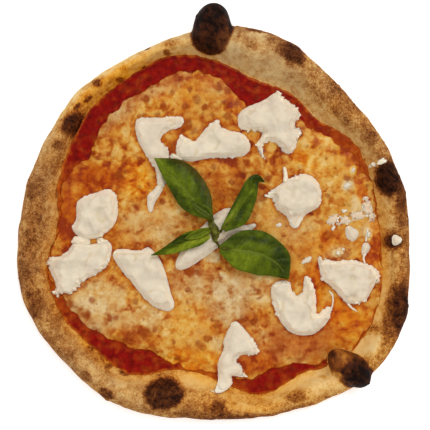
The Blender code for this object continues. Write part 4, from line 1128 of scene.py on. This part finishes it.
# ---------------------------------------------------------------------------------- Basil sprig
# A sprig of fresh basil, laid on last: four leaves and two young ones on a short flattened stalk.
# The leaves are thin, satin green, quilted between their side veins and folded along the midrib.
# Leaves: name, midrib from base to tip, half widths to its left and to its right at even steps,
# then patches: x, y, half length, half width, turn, tone, softness
LEAVES = (
    ("lower_left", ((-4, -18), (-19, -22.5), (-36, -29), (-50.5, -34.5)),
     (3, 6.3, 6.3, 5.4, 3.2, .3), (3, 6.4, 7.0, 4.4, 1.8, .3),
     ((-12, -21, 14, 3.4, 15, .95, .5), (-24, -20, 16, 2.2, 18, .05, .5),
      (-28, -29.5, 16, 2.4, 20, .72, .5), (-30, -25, 18, 1.2, 20, .10, .5),
      (-47, -34, 8, 4, 10, .40, .5), (-16, -15.5, 12, 1.4, 10, .55, .5))),
    ("lower_right", ((4, -29.5), (21, -30.5), (38, -34), (51, -42), (59.5, -54)),
     (3, 14.3, 18, 15.6, 11.2, .3), (3, 14.6, 17, 16.4, 10.6, .3),
     ((24, -38, 16, 8, -15, .62, .6), (40, -45, 10, 7, -30, .40, .6), (54, -40, 7, 14, 20, .04, .6),
      (28, -23, 18, 4, -5, .06, .6), (34, -27, 12, 3, -15, .42, .6), (10, -27, 6, 4, 20, .30, .6))),
    ("upper_left", ((-3, -4), (-16, 9.5), (-31.5, 26), (-48, 43)),
     (3, 9.3, 11.7, 9.0, 5.4, .3), (2.5, 11.5, 16, 17.4, 13.6, .3),
     ((-34, 26, 22, 5, 130, .58, .6), (-13, 22, 20, 4, 112, .10, .6), (-43, 40, 8, 4, 150, .62, .6),
      (-29, 38, 10, 4, 160, .16, .6), (-30, 13, 14, 4, 130, .14, .6), (-20, 26, 10, 3, 120, .42, .6))),
    ("upper_right", ((6.5, -14), (16.5, -3), (25.5, 12), (30.5, 22), (35, 26.5), (40.5, 24)),
     (2, 6, 6.7, 6.0, 3.8, .3), (3, 10.2, 8.4, 5.4, 2.6, .3),
     ((13, -3, 12, 2.2, 60, .62, .6), (24, 8, 16, 1.6, 60, .56, .6), (22, 1, 14, 2.2, 60, .08, .6),
      (36, 26, 7, 6, 0, .0, .6), (16, 8, 12, 1.8, 60, .12, .6))),
)
# Young leaves at the head of the stalk: midrib from base to tip, half widths, tone, height above
YOUNG_LEAVES = (
    (((-1.6, -4.5), (-6.5, -0.5), (-12.5, 3.5), (-18.5, 8.8)), 3.2, 4.4, 0.40, 1.2),
    (((-2.6, -13.5), (-9, -16), (-16, -18.6), (-24, -21.4)), 3.4, 3.6, 0.75, 1.4),
)
STALK = ((-4.0, -2.2), (-2.6, -8.0), (-0.4, -13.5), (0.6, -18.5), (-0.2, -24.0))
STALK_HALF_WIDTHS = (2.0, 3.0, 3.7, 3.3, 1.6)
STALK_STEPS = 40                # rings along the stalk
STALK_SIDES = 20                # points round each
STEM_STEPS = 24                 # rings along a leaf's stem
# Stems of the leaves, each from its leaf to the stalk
LEAF_STEMS = (
    ((-16, 9.5), (-8, 1.8), (-3.2, -4.5)), ((13, -5.5), (7.5, -12.5), (2.6, -17.5)),
    ((-13, -20.5), (-6.5, -17.8), (-1.6, -15)), ((13, -29.8), (5, -28.2), (0.6, -22.5)),
)
LEAF_TONE = 0.36                # where no patch is: 0 is dark, 1 light
LEAF_ROWS = 110                 # cells along a leaf
LEAF_HALF_COLUMNS = 26          # cells from its midrib to its edge
LEAF_THICKNESS = 0.45
YOUNG_ROWS = 36
YOUNG_COLUMNS = 17
YOUNG_THICKNESS = 0.4
VEIN_PAIRS = 6


def leaf_finish():
    """Basil: satin green with paler veins, darker and lighter patches."""
    finish = new_finish("basil leaf", IOR=1.45, Specular_IOR_Level=0.09)
    patches = mottle(finish, 6, 9, 4.0)
    fine = mottle(finish, 0.9, 10, 3.0)
    tone = swayed(finish, attribute(finish, "tone"), patches, 0.60)
    tone = swayed(finish, tone, mottle(finish, 2.2, 28, 3.0, 0.6), 0.55)
    green = shades(finish, tone, (0.0, 30, 42, 2), (0.3, 62, 74, 3), (0.6, 90, 104, 9),
                   (1.0, 132, 142, 30))
    green = blend(finish, attribute(finish, "brown"), green, shown(78, 52, 8))
    colour = blend(finish, attribute(finish, "vein"), green, shown(122, 132, 44))
    roughness = spread(finish, fine, 0.3, 0.7, 0.28, 0.42)
    set_finish(finish, colour, roughness, fine, 0.12, 0.6)
    return finish


def leaf_plan(midrib, lefts, rights, sides):
    """A leaf's points in plan: rows from its base to its tip, each from its right to its left."""
    path, ahead = soft_curve(midrib, len(lefts))
    leftwards = np.stack((-ahead[:, 1], ahead[:, 0]), axis=1)
    widths = np.where(sides > 0, lefts[:, None], rights[:, None]) * sides
    return path[:, None, :] + leftwards[:, None, :] * widths[:, :, None]


def sheet_faces(rows, columns):
    """Faces of a thin sheet: its top grid, its underside after it, and the edge between them."""
    count = rows * columns
    quads = grid_faces(rows, columns)
    faces = np.stack((quads[:, (0, 3, 2, 1)], quads + count), axis=1).reshape(-1, 4).tolist()
    edge = grid_border(rows, columns)
    for here, beside in zip(edge, edge[1:] + edge[:1]):
        faces.append((here, beside, beside + count, here + count))
    return faces


def make_leaf(name, midrib, left_widths, right_widths, patches, finish):
    """One leaf: a fine sheet over its solid, with midrib, side veins and a curled edge."""
    solid = solid_tree("basil_leaf_" + name)
    columns = 2 * LEAF_HALF_COLUMNS + 1
    shares = np.linspace(0, 1, LEAF_ROWS + 1)
    sides = np.linspace(-1, 1, columns)
    grid = np.zeros((LEAF_ROWS + 1, columns, 3))
    lefts, rights = (soft_curve(list(enumerate(widths)), LEAF_ROWS + 1)[0][:, 1]
                     for widths in (left_widths, right_widths))
    grid[:, :, :2] = leaf_plan(midrib, lefts, rights, sides)
    height = heights_on(solid, grid.reshape(-1, 3), -1.0).reshape(LEAF_ROWS + 1, columns)
    for row in range(LEAF_ROWS + 1):
        known = np.flatnonzero(height[row] > 0)
        if len(known):
            height[row] = np.interp(np.arange(columns), known, height[row, known])
        else:
            height[row] = height[row - 1]
    for _ in range(14):
        height = four_around(height) / 4

    along, across = np.meshgrid(shares, sides, indexing="ij")
    outward = np.abs(across)
    slant = along - 0.16 * outward ** 0.8
    wave = (slant * VEIN_PAIRS) % 1.0
    side_vein = np.exp(-((np.minimum(wave, 1 - wave)) / 0.07) ** 2) * (1 - outward ** 3)
    midrib_line = np.exp(-(outward / 0.05) ** 2)
    quilt = np.sin(math.pi * wave) ** 0.7 * (1 - outward ** 2) * np.minimum(1, outward * 6)
    fade = np.sin(math.pi * np.clip(along, 0, 1)) ** 0.4
    height = height + fade * (0.85 * quilt - 0.35 * side_vein - 0.5 * midrib_line)
    grid[:, :, 2] = height
    top = grid.reshape(-1, 3)
    top[:, 2] += 0.25 * rough(top, 5, 300)
    count = len(top)
    points = np.concatenate((top, top - (0, 0, LEAF_THICKNESS)))
    faces = sheet_faces(LEAF_ROWS + 1, columns)
    vein = np.clip(0.42 * midrib_line + 0.16 * side_vein, 0, 1).reshape(-1)
    tone = paint(np.full(count, LEAF_TONE), top, patches, 310) + 0.10 * quilt.reshape(-1)
    brown = 0.55 * eased_step(0.55, 1.0, -across.reshape(-1)) * (name == "upper_left")
    piece = make_piece("leaf_" + name, points, faces, finish, vein=np.tile(vein, 2),
                       tone=np.tile(tone, 2), brown=np.tile(brown, 2))
    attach(piece, "root")
    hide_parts("basil_leaf_" + name)
    return points, faces


def make_young_leaves(tree, finish):
    """The two small folded leaves, each laid over what is under it."""
    parts = []
    tones = []
    veins = []
    sides = np.linspace(-1, 1, YOUNG_COLUMNS)
    opened = np.sin(math.pi * np.linspace(0.06, 0.98, YOUNG_ROWS + 1)) ** 0.8
    for midrib, left_width, right_width, tone, lift in YOUNG_LEAVES:
        plan = leaf_plan(midrib, left_width * opened, right_width * opened, sides)
        fold = lift * opened[:, None] * (0.4 + np.abs(sides))
        top = np.dstack((plan, fold)).reshape(-1, 3)
        bed = heights_on(tree, top, CHEESE_FLOOR).reshape(YOUNG_ROWS + 1, YOUNG_COLUMNS)
        for _ in range(30):
            bed = np.maximum(bed, four_around(bed) / 4)
        top[:, 2] += bed.reshape(-1) + 0.5 + 0.2 * rough(top, 3, 390)
        parts.append((np.concatenate((top, top - (0, 0, YOUNG_THICKNESS))),
                      sheet_faces(YOUNG_ROWS + 1, YOUNG_COLUMNS)))
        away = np.tile(np.abs(sides), YOUNG_ROWS + 1)
        vein = 0.5 * np.exp(-(away / 0.14) ** 2) + 0.45 * eased_step(0.8, 1.0, away)
        tones.append(np.tile(tone - 0.35 * (1 - away) + 0.1 * rough(top, 3, 392), 2))
        veins.append(np.tile(vein, 2))
    points, faces = joined(parts)
    piece = make_piece("young_leaves", points, faces, finish, tone=np.concatenate(tones),
                       vein=np.concatenate(veins), brown=np.zeros(len(points)))
    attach(piece, "root")


def evened(heights, reach):
    """Heights along a path, each the mean of those up to a few steps away."""
    window = np.ones(2 * reach + 1) / (2 * reach + 1)
    return np.convolve(np.pad(heights, reach, mode="edge"), window, mode="valid")


def make_stalk(tree):
    """The flattened stalk and the leaves' stems, greenish brown."""
    finish = new_finish("basil stalk", IOR=1.45, Specular_IOR_Level=0.15)
    patches = mottle(finish, 3.0, 11, 3.0)
    green = shades(finish, patches, (0.35, 58, 58, 8), (0.5, 84, 80, 18), (0.65, 112, 110, 34))
    set_finish(finish, green, spread(finish, patches, 0.3, 0.7, 0.35, 0.5), patches, 0.3, 0.6)
    share = np.linspace(0, 1, STALK_STEPS)
    widths = np.interp(share * (len(STALK) - 1), range(len(STALK)), STALK_HALF_WIDTHS)
    widths = widths * np.sqrt(np.clip(np.minimum(share, 1 - share) * 10 + 0.05, 0, 1))
    path = laid_path(tree, STALK, STALK_STEPS)
    path[:, 2] = evened(path[:, 2], 4) + 1.0
    points, faces = tube(path, widths, STALK_SIDES)
    middle = np.repeat(path[:, 2], STALK_SIDES)
    points[:, 2] = middle + (points[:, 2] - middle) * 0.5
    parts = [(points, faces)]
    for places in LEAF_STEMS:
        path = laid_path(tree, places, STEM_STEPS)
        path[:, 2] = evened(path[:, 2], 3) + 0.5
        parts.append(tube(path, np.linspace(0.45, 1.25, STEM_STEPS)))
    points, faces = joined(parts)
    piece = make_piece("stalk", unsettled(points, 3, 400), faces, finish)
    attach(piece, "root")
    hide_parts("basil_stem")


basil_green = leaf_finish()
for leaf in LEAVES:
    laid.append(make_leaf(*leaf, basil_green))
laid_tree = tree_over(*joined(laid))
make_stalk(laid_tree)
make_young_leaves(laid_tree, basil_green)


# --------------------------------------------------------------------------- Floor, light, camera
# A plain pale floor under soft, even light from above, and a camera that looks straight down on
# the pizza as the photograph does.
PLAIN_WHITE = (1.0, 1.0, 1.0, 1.0)
FLOOR_HALF = 8.0                # half the floor's side, in metres



def make_floor():
    """A plain pale floor, far wider than the view."""
    mesh = bpy.data.meshes.new("floor")
    corners = [(x * FLOOR_HALF, y * FLOOR_HALF, 0) for x, y in ((-1, -1), (1, -1), (1, 1), (-1, 1))]
    mesh.from_pydata(corners, [], [(0, 1, 2, 3)])
    finish = new_finish("pale floor", Base_Color=PLAIN_WHITE, Roughness=1.0, Specular_IOR_Level=0.0,
                        Emission_Color=PLAIN_WHITE, Emission_Strength=0.3)
    mesh.materials.append(finish)
    floor = placed("floor", mesh)


def add_soft_light(name, azimuth, elevation, spread_angle, strength):
    """A wide soft lamp far off, seen from the pizza at an azimuth from +X and an elevation."""
    lamp = bpy.data.lights.new(name, "SUN")
    lamp.angle = math.radians(spread_angle)
    lamp.energy = strength
    azimuth = math.radians(azimuth)
    elevation = math.radians(elevation)
    towards = Vector((math.cos(azimuth) * math.cos(elevation), math.sin(azimuth) * math.cos(elevation),
                      math.sin(elevation)))
    holder = placed(name, lamp)
    holder.location = towards * 2
    holder.rotation_euler = towards.to_track_quat("Z", "Y").to_euler()


make_floor()
world = bpy.data.worlds.new("studio")
world.use_nodes = True
world.node_tree.nodes["Background"].inputs["Color"].default_value = PLAIN_WHITE
world.node_tree.nodes["Background"].inputs["Strength"].default_value = 0.50
bpy.context.scene.world = world
add_soft_light("key light", 62, 48, 40, 1.00)
add_soft_light("window light", 70, 60, 5, 0.25)
add_soft_light("left light", 160, 42, 60, 0.55)
add_soft_light("right light", -20, 42, 60, 0.50)
add_soft_light("low light", 250, 45, 60, 0.22)
bpy.context.scene.view_settings.view_transform = "Standard"

camera_lens = bpy.data.cameras.new("camera")
camera_lens.lens = 90.6
camera_lens.sensor_width = 36.0
camera = placed("camera", camera_lens)
camera.location = (0.0004, -0.0024, 0.8828)
bpy.context.scene.camera = camera
